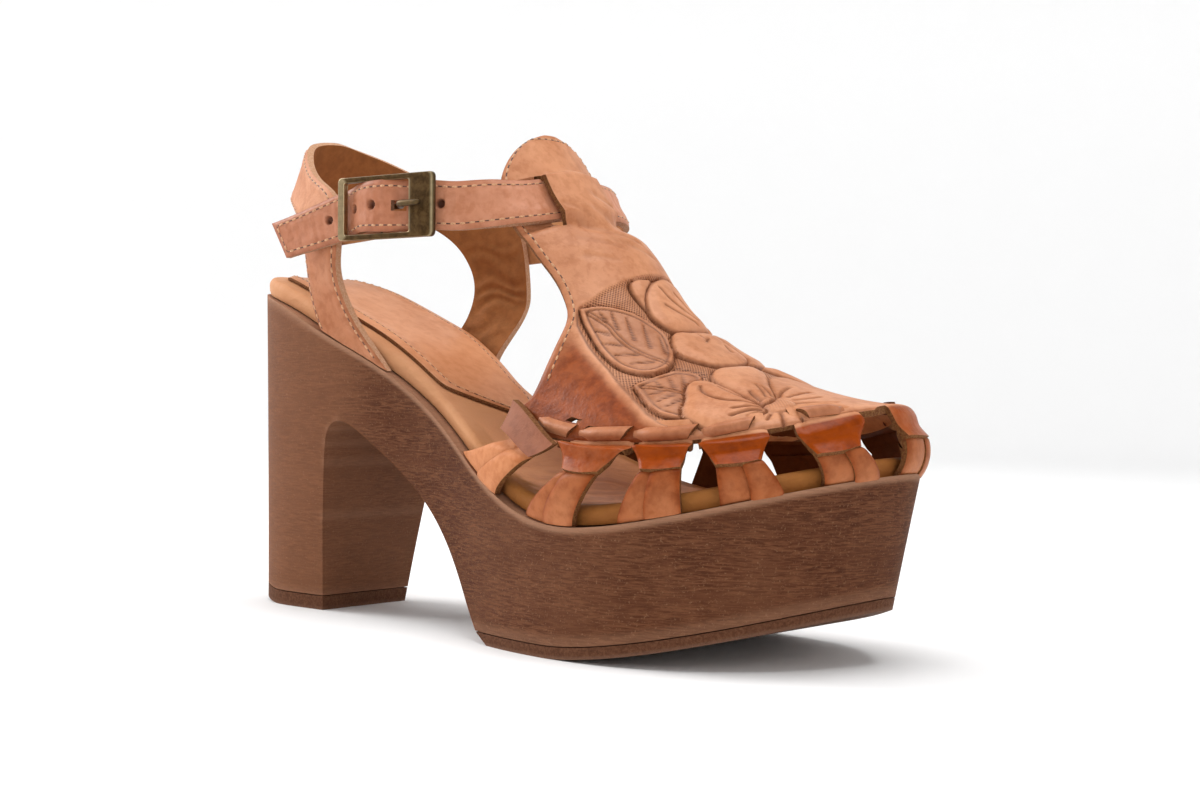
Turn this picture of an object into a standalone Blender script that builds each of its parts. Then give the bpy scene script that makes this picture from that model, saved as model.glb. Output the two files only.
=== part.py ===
"""Right-foot platform sandal: wooden-look sole and block heel, huarache vamp with tongue,
slingback quarter and buckled ankle strap.  Sizes in millimetres, x from heel to toe,
y to the big-toe side, z up; the finished bodies stand on z = 0 around the origin."""
import bpy
import bmesh
import numpy as np

for old in list(bpy.data.objects):
    bpy.data.objects.remove(old, do_unlink=True)

# driving dimensions
MM = 0.001
ORIGIN_X, ORIGIN_Y = 117.05, -3.85
GAP = 0.3                    # air between neighbouring pieces
OUTSOLE, HEEL_TIP = 3.2, 4.4  # tread under the forefoot, top piece under the heel
TOE_SPRING, SPRING_FROM = 17.3, 153.0
HEEL_LIFT, LIFT_FROM = 3.0, 20.0
INSOLE_INSET, INSOLE_THICK, PAD_THICK = 3.3, 5.4, 1.2
VAMP_WALL, QUARTER_WALL, STRAP_WALL = 2.2, 2.5, 2.3
VAMP_INSET = 7.5             # vamp edge inside the sole edge
LEG_INSET, LEG_WALL = 1.7, 2.0
STRAP_WIDTH, END_SLANT = 14.2, 0.3
SLIT_LIFT = 3.1              # vamp pushed out over and in beside the ankle strap
TIP_Y = 7.5                  # toe point, to the big-toe side

# sole edge: top line and ground line, half widths to the little-toe and big-toe side
OUTLINE = [
    # x_top lat_top med_top x_low lat_low med_low
    (11.6, 18.9, 18.3, 7.6, 11.4, 9.6),
    (32.6, 29.5, 28.4, 20.5, 19.2, 16.6),
    (60.5, 31.4, 29.6, 44.0, 20.4, 17.6),
    (93.0, 30.7, 20.5, 84.0, 24.5, 17.0),
    (123.3, 42.0, 31.1, 121.5, 40.6, 29.4),
    (153.5, 50.5, 42.8, 152.6, 49.6, 41.6),
    (176.8, 51.3, 43.8, 175.2, 49.6, 41.8),
    (197.7, 45.2, 40.7, 194.2, 42.6, 37.6),
    (214.0, 33.9, 34.1, 208.8, 31.0, 30.4),
    (225.6, 17.5, 24.1, 219.3, 15.5, 20.8),
]
HEEL_END, TOE_END = (0.0, 3.4), (232.6, 226.1)
SOLE_TOP = [  # x, z of the sole's top edge
    (0, 100.5), (25, 96.5), (50, 86.8), (75, 75.5), (100, 60.2),
    (125, 45.4), (150, 36.6), (175, 37.3), (200, 42.7), (232.6, 52.3),
]
ARCH = [  # x, z of the opening between heel and platform
    (41.3, -5.0), (41.3, 0.0), (44.2, 30.0), (47.2, 52.0), (49.2, 57.5), (53.0, 60.2), (57.5, 59.6),
    (64.0, 56.0), (79.6, 45.5), (92.0, 36.2), (105.3, 23.9), (113.6, 13.9), (119.7, 5.8), (122.6, 2.6),
    (128.0, 0.0), (131.0, -5.0),
]
PAD = [  # x, half widths of the heel pad
    (8.5, 3.0, 3.0), (11.0, 9.5, 9.5), (18.0, 16.0, 16.0), (30.0, 20.0, 21.0), (48.0, 20.6, 22.6),
    (63.0, 20.6, 22.8), (80.0, 22.4, 17.2), (90.0, 23.4, 13.6), (93.0, 22.6, 13.2), (97.0, 16.6, 12.0),
    (101.0, 9.5, 9.0), (103.7, 4.5, 5.0), (104.6, 1.0, 1.5),
]
LAST = [  # crest x, z, y of the last; half widths and depth of the elliptic section under it
    # x z y lat med depth
    (111.8, 148.0, 0.0, 37.0, 37.0, 34.0),
    (118.0, 139.0, 0.0, 36.5, 36.5, 33.5),
    (125.0, 129.0, 0.0, 36.0, 36.0, 34.0),
    (137.0, 116.3, 0.5, 36.0, 35.0, 37.0),
    (150.0, 103.2, 2.0, 39.5, 33.5, 42.0),
    (157.5, 96.6, 3.0, 43.0, 32.5, 41.0),
    (165.5, 90.4, 4.0, 46.5, 31.8, 37.0),
    (173.5, 85.2, 4.6, 49.0, 31.8, 31.0),
    (180.0, 82.0, 5.0, 49.6, 31.6, 26.5),
    (195.0, 76.6, 5.4, 46.6, 29.6, 19.2),
    (210.0, 72.9, 6.0, 38.6, 24.6, 12.0),
    (219.0, 71.5, 6.8, 28.5, 18.0, 6.5),
    (227.0, 70.8, 7.5, 12.5, 9.0, 1.8),
]
TRIM = [  # vamp rows: crest x, section x at the edge, angle of the edge round the section
    (111.8, 111.8, 6.0), (113.0, 113.0, 17.0), (115.0, 115.0, 28.0), (118.0, 118.0, 37.5), (121.0, 121.0, 41.8),
    (125.0, 125.0, 44.0), (129.0, 128.8, 44.3), (137.0, 136.2, 44.3), (144.0, 142.4, 43.3), (151.5, 149.3, 45.9),
    (158.5, 153.0, 53.9), (165.5, 156.6, 66.0), (172.5, 159.1, 77.0), (178.0, 158.7, 81.5), (184.5, 168.3, 80.7),
    (193.0, 181.3, 80.0), (203.5, 196.8, 79.0), (211.0, 206.9, 78.0), (217.5, 215.4, 78.0), (222.0, 221.2, 74.0),
    (225.4, 225.2, 66.0), (227.0, 227.0, 60.0),
]
VAMP_EDGE = [  # distance from the toe point, z of the vamp edge
    (-150.0, 70.5), (-128.0, 68.5), (-112.0, 64.4), (-96.0, 62.2), (-80.0, 61.4), (-64.0, 61.8), (-48.0, 63.2),
    (-33.0, 65.6), (-19.0, 68.4), (-7.0, 70.2), (0.0, 70.6), (19.0, 69.0), (33.0, 66.6), (49.0, 64.4),
    (80.0, 62.4), (112.0, 65.4), (128.0, 69.0), (150.0, 71.0),
]
KNOTS = [  # foot distance from the toe point, half width of the foot, shift of the top
    (-145.0, 10.6, 22.0), (-111.5, 9.8, 8.0), (-79.5, 9.2, 2.0), (-50.5, 8.6, -3.0), (-21.0, 8.6, -1.0),
    (9.5, 8.6, 0.0), (39.0, 8.6, 2.0), (69.0, 9.2, -2.0), (101.0, 9.8, -8.0), (134.0, 10.6, -22.0),
]
HEEL_PLAN = [  # way round the heel from the back, x, y of the quarter
    (0.0, 9.0, 0.0), (12.0, 11.5, 10.5), (24.0, 19.5, 18.8), (36.0, 29.5, 25.2), (50.0, 42.0, 31.0),
    (64.0, 55.0, 34.4), (78.0, 69.0, 35.4), (92.0, 83.0, 35.2),
]
QUARTER = [  # station; front or top edge: way, z; rear or lower edge: way, z
    (-1.00, 84.0, 76.0, 56.0, 88.7), (-0.90, 75.0, 87.0, 54.2, 92.0), (-0.80, 70.3, 95.5, 51.8, 98.0),
    (-0.68, 67.6, 106.0, 49.5, 107.0), (-0.56, 68.0, 117.0, 46.0, 115.5), (-0.45, 66.0, 127.5, 40.0, 122.0),
    (-0.30, 49.0, 135.5, 29.0, 127.0), (-0.15, 25.0, 145.0, 15.0, 130.0), (0.00, 0.0, 149.5, 0.0, 131.0),
    (0.15, 26.0, 145.0, 15.0, 130.0), (0.30, 50.0, 137.0, 31.0, 127.5), (0.45, 75.0, 129.0, 46.0, 123.5),
    (0.56, 82.5, 120.0, 56.0, 117.5), (0.68, 85.0, 108.0, 62.5, 109.0), (0.80, 85.5, 98.0, 65.0, 100.0),
    (0.90, 84.0, 88.0, 64.0, 92.5), (1.00, 81.0, 77.4, 60.0, 87.0),
]
STRAP = [  # middle line of the ankle strap from the big-toe side to the free end; lean of its width
    # x y z lean
    (58.0, 38.6, 117.8, 0.0), (72.0, 38.4, 118.8, 0.0), (88.0, 37.4, 120.4, 0.06), (102.0, 34.8, 123.0, 0.2),
    (112.0, 31.0, 124.6, 0.34), (117.6, 26.0, 125.4, 0.48), (120.4, 19.6, 126.3, 0.54), (121.9, 13.0, 127.3, 0.56),
    (123.4, 6.5, 128.2, 0.56), (124.0, 0.0, 128.5, 0.56), (123.4, -6.5, 128.2, 0.56), (121.9, -13.0, 127.3, 0.56),
    (120.4, -19.6, 126.3, 0.54), (117.6, -26.0, 125.6, 0.46), (112.0, -31.0, 125.0, 0.3), (104.0, -35.0, 124.4, 0.12),
    (97.0, -37.3, 123.9, 0.03), (92.0, -38.0, 123.5, 0.0), (87.0, -39.6, 123.0, 0.0), (80.0, -40.6, 122.4, 0.0),
    (73.0, -39.6, 121.8, 0.0), (68.0, -38.0, 121.3, 0.0), (63.0, -37.6, 120.8, 0.0), (52.0, -38.1, 119.0, 0.0),
    (37.2, -38.2, 116.6, 0.0),
]
BUCKLE_X, BUCKLE_Z, BUCKLE_Y = (64.6, 102.4), (113.3, 132.1), (-41.8, -39.7)  # frame, outer sizes
RAIL, WIDE_BAR, THIN_BAR, PIN_X = 1.7, 9.6, 2.6, (79.0, 81.0)
BUCKLE_TURN = 0.09           # the frame rises a little to the front, like the strap
PRONG_WIRE = 0.9
PRONG = [(82.0, -37.8), (86.0, -37.5), (88.2, -39.6), (90.0, -42.2), (92.6, -43.1), (100.4, -43.1)]  # x, y
TAB = [(57.0, -32.2), (65.0, -32.8), (72.0, -33.6), (79.5, -34.5), (83.4, -35.4), (84.0, -37.0), (82.0, -38.2),
       (78.0, -38.1), (74.5, -36.8), (70.0, -35.3)]  # x, y of the buckle tab round the pin
TAB_WALL, TAB_Z = 0.9, (116.4, 120.2, 124.0, 127.6)

COLOURS = {  # base colour, roughness, metallic
    "leather": ((0.52, 0.25, 0.12), 0.5, 0.0),
    "lining": ((0.60, 0.36, 0.18), 0.6, 0.0),
    "sole": ((0.165, 0.085, 0.055), 0.6, 0.0),
    "tread": ((0.10, 0.055, 0.04), 0.75, 0.0),
    "brass": ((0.24, 0.20, 0.14), 0.4, 0.9),
}

parts = bpy.data.collections.new("platform_sandal")
cutters = bpy.data.collections.new("cutters")
bpy.context.scene.collection.children.link(parts)
bpy.context.scene.collection.children.link(cutters)
materials = {}
for label, (colour, rough, metal) in COLOURS.items():
    mat = bpy.data.materials.new(label)
    mat.use_nodes = True
    shader = mat.node_tree.nodes["Principled BSDF"]
    shader.inputs["Base Color"].default_value = (*colour, 1.0)
    shader.inputs["Roughness"].default_value = rough
    shader.inputs["Metallic"].default_value = metal
    materials[label] = mat


def spline(t, table, loop=False):
    """Cubic spline through table rows (first column the parameter); a loop closes on itself."""
    rows = np.asarray(table, float)
    k, v = rows[:, 0], rows[:, 1:]
    n = len(k)
    h = np.diff(k)
    a = np.eye(n)
    b = np.zeros_like(v)
    rise = np.diff(v, axis=0) / h[:, None]
    for i in range(1, n - 1):
        a[i, i - 1:i + 2] = h[i - 1], 2 * (h[i - 1] + h[i]), h[i]
        b[i] = 6 * (rise[i] - rise[i - 1])
    if loop:
        a[0, :2] += 2 * h[0] - 1, h[0]
        a[0, 0] += 2 * h[-1]
        a[0, -2] += h[-1]
        b[0] = 6 * (rise[0] - rise[-1])
        a[-1, 0] = -1
    m = np.linalg.solve(a, b)
    t = np.asarray(t, float)
    i = np.clip(np.searchsorted(k, t, side="right") - 1, 0, n - 2)
    left, right = (t - k[i])[..., None], (k[i + 1] - t)[..., None]
    w = h[i][..., None]
    cubic = (m[i] * right ** 3 + m[i + 1] * left ** 3) / (6 * w)
    out = cubic + (v[i] / w - m[i] * w / 6) * right + (v[i + 1] / w - m[i + 1] * w / 6) * left
    return out[..., 0] if out.shape[-1] == 1 else out


def ground(x):
    """Height of the tread: flat under ball and heel, rising to the toe and behind the heel."""
    toe = np.clip((x - SPRING_FROM) / (TOE_END[0] - SPRING_FROM), 0, 1)
    heel = np.clip((LIFT_FROM - x) / (LIFT_FROM - HEEL_END[1]), 0, 1)
    return TOE_SPRING * toe ** 1.6 + HEEL_LIFT * heel ** 1.5


def sole_top(x):
    return spline(np.clip(x, 0.0, TOE_END[0]), SOLE_TOP)


def closed_edge(low):
    """Closed plan line of the sole edge as a function of the row number, heel 0, toe 11, heel 22."""
    c = 3 if low else 0
    lateral = [(r[c], -r[c + 1]) for r in OUTLINE]
    medial = [(r[c], r[c + 2]) for r in OUTLINE]
    heel, toe = [(HEEL_END[low], 0.0)], [(TOE_END[low], TIP_Y)]
    pts = np.array(heel + lateral + toe + medial[::-1] + heel)
    table = np.column_stack([np.arange(len(pts)), pts])
    return lambda t: spline(t, table, loop=True)


edge_top, edge_low = closed_edge(0), closed_edge(1)
ROWS = len(OUTLINE) + 1

dense = np.linspace(0, 2 * ROWS, 2201)
dense_xy = edge_top(dense)
dense_arc = np.concatenate([[0], np.cumsum(np.linalg.norm(np.diff(dense_xy, axis=0), axis=1))])
dense_arc -= np.interp(ROWS, dense, dense_arc)


def edge_at(arc, inset):
    """Plan point on the sole's top edge, moved inwards; arc counted from the toe point."""
    t = np.interp(arc, dense_arc, dense)
    step = 0.02
    ahead, behind = edge_top(np.clip(t + step, 0, 2 * ROWS)), edge_top(np.clip(t - step, 0, 2 * ROWS))
    along = ahead - behind
    along = along / np.linalg.norm(along, axis=-1, keepdims=True)
    inward = np.stack([-along[..., 1], along[..., 0]], -1)
    return edge_top(t) + inward * np.asarray(inset, float)[..., None]


def add_body(name, verts, faces, material, where=parts):
    """Mesh body from points in shoe millimetres; normals turned outwards."""
    pts = (np.asarray(verts, float) - (ORIGIN_X, ORIGIN_Y, 0.0)) * MM
    mesh = bpy.data.meshes.new(name)
    mesh.from_pydata(pts.tolist(), [], [list(f) for f in faces])
    bm = bmesh.new()
    bm.from_mesh(mesh)
    bmesh.ops.remove_doubles(bm, verts=bm.verts, dist=2e-6)
    bmesh.ops.dissolve_degenerate(bm, edges=bm.edges, dist=1e-6)
    bmesh.ops.recalc_face_normals(bm, faces=bm.faces)
    bmesh.ops.triangulate(bm, faces=bm.faces)
    bm.to_mesh(mesh)
    bm.free()
    mesh.materials.append(materials[material])
    obj = bpy.data.objects.new(name, mesh)
    where.objects.link(obj)
    if where is cutters:
        obj.hide_render = True
        obj.display_type = "WIRE"
    return obj


def combine(obj, tool, operation):
    """Exact Boolean of obj with tool; the tool stays among the cutters."""
    mod = obj.modifiers.new(operation.lower(), "BOOLEAN")
    mod.operation = operation
    mod.solver = "EXACT"
    mod.object = tool
    bpy.context.view_layer.objects.active = obj
    bpy.ops.object.modifier_apply(modifier=mod.name)


def shell(name, outer, inner, material, keep=None, where=parts):
    """Closed wall between two point grids; cells that are not kept stay open."""
    rows, cols = outer.shape[:2]
    keep = np.ones((rows - 1, cols - 1), bool) if keep is None else keep
    number = np.arange(rows * cols).reshape(rows, cols)
    shift = rows * cols
    faces = []
    around = ((0, 0, 0, 1, -1, 0), (0, 1, 1, 1, 0, 1), (1, 1, 1, 0, 1, 0), (1, 0, 0, 0, 0, -1))
    for i in range(rows - 1):
        for j in range(cols - 1):
            if not keep[i, j]:
                continue
            ring = number[i, j], number[i, j + 1], number[i + 1, j + 1], number[i + 1, j]
            faces.append(ring)
            faces.append(tuple(shift + v for v in ring[::-1]))
            for ai, aj, bi, bj, ni, nj in around:
                r, c = i + ni, j + nj
                if 0 <= r < rows - 1 and 0 <= c < cols - 1 and keep[r, c]:
                    continue
                a, b = number[i + ai, j + aj], number[i + bi, j + bj]
                faces.append((b, a, a + shift, b + shift))
    used = sorted({v for f in faces for v in f})
    renumber = {v: n for n, v in enumerate(used)}
    verts = np.concatenate([outer.reshape(-1, 3), inner.reshape(-1, 3)])[used]
    return add_body(name, verts, [tuple(renumber[v] for v in f) for f in faces], material, where)


def normals(grid):
    """Unit normals of a point grid, columns crossed with rows."""
    du, dv = np.gradient(grid, axis=0), np.gradient(grid, axis=1)
    n = np.cross(dv, du)
    return n / np.maximum(np.linalg.norm(n, axis=2, keepdims=True), 1e-9)


def ring_loft(name, rings, material, where=parts):
    """Body from closed rings of equal size (lateral points, then medial), capped at both ends
    with strips across the foot."""
    count = len(rings[0])
    half = count // 2
    verts = np.concatenate(rings)
    faces = []
    for r in range(len(rings) - 1):
        for i in range(count):
            a, b = r * count + i, r * count + (i + 1) % count
            faces.append((a, b, b + count, a + count))
    for base, flip in ((0, True), ((len(rings) - 1) * count, False)):
        for i in range(half):
            a, b = base + i, base + i + 1
            c, d = base + (count - i - 1) % count, base + (count - i) % count
            quad = (a, b, c, d)
            quad = tuple(dict.fromkeys(quad))
            if len(quad) > 2:
                faces.append(quad[::-1] if flip else quad)
    return add_body(name, verts, faces, material, where)


def side_rows(n):
    """Row numbers round the sole: heel to toe on one side and back on the other, denser at the ends."""
    half = ROWS * (1 - np.cos(np.pi * np.arange(n) / n)) / 2
    return np.concatenate([half, 2 * ROWS - ROWS * (1 - np.cos(np.pi * np.arange(n, 0, -1) / n)) / 2])


# sole: platform and heel in one block, ruled between the top line and the ground line
ring_t = side_rows(34)
top_xy, low_xy = edge_top(ring_t), edge_low(ring_t)
top_z, low_z = sole_top(top_xy[:, 0]), ground(low_xy[:, 0])
tread_h = np.where(low_xy[:, 0] < 80.0, HEEL_TIP, OUTSOLE)


def wall(height_from_low):
    """Ring on the ruled side wall, a given height above the ground line."""
    f = (height_from_low / (top_z - low_z))[:, None]
    xy = low_xy + (top_xy - low_xy) * f
    return np.column_stack([xy, low_z + height_from_low])


full = top_z - low_z
lip = wall(full - 1.4)
mid = wall(tread_h + GAP + (full - tread_h) * 0.5)
sole = ring_loft("sole", [np.column_stack([top_xy, top_z]), lip, mid, wall(tread_h + GAP)], "sole")
heel_tip = ring_loft("heel_tip", [wall(tread_h), wall(0 * full)], "tread")
outsole = ring_loft("outsole", [wall(tread_h), wall(0 * full)], "tread")


def prism(name, profile, y0, y1):
    """Straight prism across the foot over an x, z profile."""
    n = len(profile)
    verts = [(x, y, z) for y in (y0, y1) for x, z in profile]
    faces = [tuple(range(n)), tuple(range(2 * n - 1, n - 1, -1))]
    faces += [(i, i + n, (i + 1) % n + n, (i + 1) % n) for i in range(n)]
    return add_body(name, verts, faces, "sole", cutters)


def box(name, lo, hi, where=cutters, material="brass", turn=0.0):
    """Block between two corners; turn tilts it about the buckle's middle, front end up."""
    verts = np.array([(x, y, z) for z in (lo[2], hi[2]) for y in (lo[1], hi[1]) for x in (lo[0], hi[0])])
    hub = np.array([sum(BUCKLE_X) / 2, 0.0, sum(BUCKLE_Z) / 2])
    c, s = np.cos(turn), np.sin(turn)
    verts = (verts - hub) @ np.array([[c, 0, s], [0, 1, 0], [-s, 0, c]]) + hub
    faces = [(0, 2, 3, 1), (4, 5, 7, 6), (0, 1, 5, 4), (2, 6, 7, 3), (0, 4, 6, 2), (1, 3, 7, 5)]
    return add_body(name, verts, faces, material, where)


arch = prism("arch_cutter", ARCH, -80.0, 80.0)
for body in (sole, outsole, heel_tip):
    combine(body, arch, "DIFFERENCE")
combine(heel_tip, box("front_cutter", (70.0, -90.0, -10.0), (260.0, 90.0, 60.0)), "DIFFERENCE")
combine(outsole, box("rear_cutter", (-20.0, -90.0, -10.0), (70.0, 90.0, 60.0)), "DIFFERENCE")


# insole board with a rolled edge, and the heel pad on it
def inset_ring(inset, lift):
    arcs = np.interp(ring_t, dense, dense_arc)
    xy = edge_at(arcs, np.full(len(arcs), inset))
    return np.column_stack([xy, sole_top(xy[:, 0]) + lift])


insole_top = GAP + 0.15 + INSOLE_THICK
ring_loft("insole", [inset_ring(INSOLE_INSET + 1.8, insole_top), inset_ring(INSOLE_INSET + 0.4, insole_top - 1.2),
                     inset_ring(INSOLE_INSET, insole_top - 2.6), inset_ring(INSOLE_INSET + 0.2, GAP + 0.15)], "lining")
cross = np.linspace(-1, 1, 5)
pad_grid = np.stack([np.stack([np.full(5, x), np.interp(cross, (-1, 1), (-lat, med)), np.zeros(5)], -1)
                     for x, lat, med in PAD])
pad_grid[..., 2] = sole_top(pad_grid[..., 0]) + insole_top + GAP + 0.2
shell("heel_pad", pad_grid + (0, 0, PAD_THICK), pad_grid, "leather")

# vamp with tongue: a trimmed patch of the last, rows from the little-toe edge over the crest
def last_point(u, angle):
    """Outer leather face on the last: elliptic section square to the crest line at crest x = u."""
    k = spline(u, LAST)
    slope = (spline(u + 0.05, LAST)[..., 0] - spline(u - 0.05, LAST)[..., 0]) / 0.1
    length = np.sqrt(1 + slope ** 2)
    sag = k[..., 4] * (1 - np.cos(angle))
    half = np.where(angle < 0, k[..., 2], k[..., 3])
    return np.stack([u + slope / length * sag, k[..., 1] + half * np.sin(angle), k[..., 0] - sag / length], -1)


def vamp_grid(stations, across):
    """Patch points: the angle spreads evenly over a row, the row sweeps back towards its edges."""
    row = spline(stations, np.column_stack([np.arange(len(TRIM)), TRIM]))
    v = across[None, :]
    u = row[:, 0:1] + (row[:, 1:2] - row[:, 0:1]) * np.abs(v) ** 1.5
    return last_point(u, np.radians(row[:, 2:3]) * v)


ACROSS = np.array([-1, -.9, -.78, -.66, -.575, -.5, -.37, -.2, 0, .2, .37, .5, .575, .66, .78, .9, 1])
STATIONS = np.concatenate([np.linspace(0, 3, 6)[:-1], np.linspace(3, 7, 11)[:-1], np.linspace(7, len(TRIM) - 1, 24)])
vamp = vamp_grid(STATIONS, ACROSS)
out_n = -normals(vamp)
SLIT_ROWS = (3.35, 6.4)     # station range of the two slits
SLIT_COLS = (0.5, 0.575)


def strap_lift(stations, across):
    """Outward shift of the tongue over the ankle strap and inward shift beside it."""
    s = np.clip(np.minimum(stations - 2.7, 7.2 - stations) / 0.7, 0, 1)
    s = s * s * (3 - 2 * s)
    v = np.abs(across)
    over = np.where(v < 0.54, 1.0, -0.95 * np.clip((1.15 - v) / 0.45, 0, 1))
    return SLIT_LIFT * s[:, None] * over[None, :]


vamp = vamp + out_n * strap_lift(STATIONS, ACROSS)[..., None]
out_n = -normals(vamp)
keep = np.ones((len(STATIONS) - 1, len(ACROSS) - 1), bool)
row_mid = (STATIONS[:-1] + STATIONS[1:]) / 2
col_lo, col_hi = np.minimum(abs(ACROSS[:-1]), abs(ACROSS[1:])), np.maximum(abs(ACROSS[:-1]), abs(ACROSS[1:]))
in_rows = (row_mid > SLIT_ROWS[0]) & (row_mid < SLIT_ROWS[1])
in_cols = (col_lo > SLIT_COLS[0] - 0.01) & (col_hi < SLIT_COLS[1] + 0.01)
keep[np.ix_(in_rows, in_cols)] = False
upper = shell("upper", vamp, vamp - out_n * VAMP_WALL, "leather", keep)

# knots: two legs from the sole edge gathered by a flared collar into the vamp edge
RISE = np.array([0.0, 0.16, 0.34, 0.5, 0.55, 0.66, 0.82, 1.0, 1.14])
WIDTH = np.array([1.0, 0.96, 0.83, 0.67, 0.67, 0.76, 0.91, 1.07, 1.09])
COLLAR = np.array([0.0, 0.0, 0.0, 0.1, 1.1, 1.5, 1.2, 0.3, -1.9])
LEGS = np.array([-1, -.55, -.04, .04, .55, 1])
for n, (foot, half, shift) in enumerate(KNOTS):
    arc = foot + shift * np.minimum(RISE, 1.0)[:, None] + (half * WIDTH)[:, None] * LEGS[None, :]
    q = np.broadcast_to(RISE[:, None], arc.shape)
    flat = 1 - np.clip(np.abs(arc) / 60.0, 0, 1)
    bulge = (3.4 + flat) * np.sin(np.pi * np.clip(q, 0, 1)) ** 0.8
    inset = LEG_INSET + (VAMP_INSET - LEG_INSET) * np.minimum(q, 1) ** 1.3 - bulge
    inset = inset + np.where(q > 1, 1.6 + 2.2 * flat, 0.0)
    xy = edge_at(arc.ravel(), inset.ravel()).reshape(*arc.shape, 2)
    outer_foot = edge_at(arc.ravel(), np.full(arc.size, LEG_INSET)).reshape(*arc.shape, 2)
    z_foot = sole_top(outer_foot[..., 0]) + GAP + 0.5
    z_edge = spline(arc.ravel(), VAMP_EDGE).reshape(arc.shape)
    tuck = np.where(q > 1, 2.6 - 2.0 * flat, 0.0)
    height = z_foot + (z_edge - z_foot) * np.minimum(q, 1) + tuck
    grid = np.concatenate([xy, height[..., None]], 2)
    n_out = normals(grid)
    n_out[0, :, 2] = 0.0
    over = np.where(LEGS[None, :] > 0, 0.35, -0.25) * (q < 0.53)
    thick = LEG_WALL / 2 + over + COLLAR[:, None]
    knot = shell(f"knot_{n}", grid + n_out * thick[..., None], grid - n_out * (LEG_WALL / 2), "leather", where=cutters)
    combine(upper, knot, "UNION")

# quarter: posts and back strap in one wall, from one foot round the heel to the other
stat = np.concatenate([np.linspace(-1, -0.45, 13), np.linspace(-0.39, 0.39, 14), np.linspace(0.45, 1, 13)])
way = np.linspace(0, 1, 6)
rows = spline(stat, QUARTER)
grid = np.empty((len(stat), len(way), 3))
a = rows[:, 0:1] + (rows[:, 2:3] - rows[:, 0:1]) * way
z = rows[:, 1:2] + (rows[:, 3:4] - rows[:, 1:2]) * way
side = np.where(stat[:, None] < 0, -1.0, 1.0)
plan = spline(np.clip(a, 0, 92), HEEL_PLAN)
low_f = np.clip((z - sole_top(plan[..., 0])) / 26.0, 0, 1)
low_f = np.where(np.abs(stat[:, None]) > 0.5, low_f * low_f * (3 - 2 * low_f), 1.0)
to_toe = dense <= ROWS
half_w = np.where(side < 0, -np.interp(plan[..., 0], *dense_xy[to_toe].T),
                  np.interp(plan[..., 0], *dense_xy[::-1][to_toe].T))
foot_y = half_w - 1.6
rear = np.clip(1 - a / 66.0, 0, 1)
grid[..., 0] = plan[..., 0] + rear * np.interp(z, (100.0, 131.0, 150.0), (0.0, 5.5, 15.0))
grid[..., 1] = side * (foot_y + (plan[..., 1] * (1 - 0.12 * np.clip((z - 126) / 24, 0, 1)) - foot_y) * low_f)
grid[..., 2] = np.maximum(z, sole_top(plan[..., 0]) + GAP)
n_out = normals(grid)
shell("back_strap", grid + n_out * (QUARTER_WALL / 2), grid - n_out * (QUARTER_WALL / 2), "leather")

# ankle strap: one band through the tongue's slits to its free end
line = np.array(STRAP)
knots = np.concatenate([[0], np.cumsum(np.linalg.norm(np.diff(line[:, :3], axis=0), axis=1))])
hole_way = np.interp(-88.0, -line[13:, 0], knots[13:])
way_s = np.linspace(0, knots[-1], 55)
way_s = np.sort(np.append(way_s[np.abs(way_s - hole_way) > 3.4], [hole_way - 2.3, hole_way + 2.3]))
mid_line = spline(way_s, np.column_stack([knots, line]))
lean = mid_line[:, 3]
width_dir = np.column_stack([-lean, np.zeros(len(lean)), np.sqrt(np.maximum(1 - lean ** 2, 0))])
tangent = np.gradient(mid_line[:, :3], axis=0)
tangent /= np.linalg.norm(tangent, axis=1, keepdims=True)
width_dir -= tangent * (width_dir * tangent).sum(1, keepdims=True)
width_dir /= np.linalg.norm(width_dir, axis=1, keepdims=True)
out_dir = np.cross(width_dir, tangent)
band = np.array([-0.5, -0.17, -0.1, 0.1, 0.17, 0.5]) * STRAP_WIDTH
grid = mid_line[:, None, :3] + width_dir[:, None] * band[None, :, None]
grid[-1] += tangent[-1] * (END_SLANT * band)[:, None]
push = out_dir[:, None] * (STRAP_WALL / 2)
strap_keep = np.ones((len(way_s) - 1, len(band) - 1), bool)
strap_keep[int(np.argmin(np.abs(way_s - hole_way + 2.3))), 2] = False
shell("ankle_strap", grid + push, grid - push, "leather", strap_keep)

# buckle: brass frame with a wide and a thin bar and a pin behind the strap, its prong and its tab
(bx0, bx1), (bz0, bz1), (by0, by1) = BUCKLE_X, BUCKLE_Z, BUCKLE_Y
frame = box("buckle_frame", (bx0, by0, bz0), (bx1, by1, bz1), parts, turn=BUCKLE_TURN)
hole = (bx0 + THIN_BAR, by0 - 2, bz0 + RAIL), (bx1 - WIDE_BAR, by1 + 2, bz1 - RAIL)
combine(frame, box("window_cutter", *hole, turn=BUCKLE_TURN), "DIFFERENCE")
pin = box("pin", (PIN_X[0], by0 + 0.4, bz0 + 0.2), (PIN_X[1], -35.6, bz1 - 0.2), turn=BUCKLE_TURN)
slot = (PIN_X[0] - 1, by0 - 2, bz0 + RAIL), (PIN_X[1] + 1, -37.2, bz1 - RAIL)
combine(pin, box("pin_cutter", *slot, turn=BUCKLE_TURN), "DIFFERENCE")
combine(frame, pin, "UNION")

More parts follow.
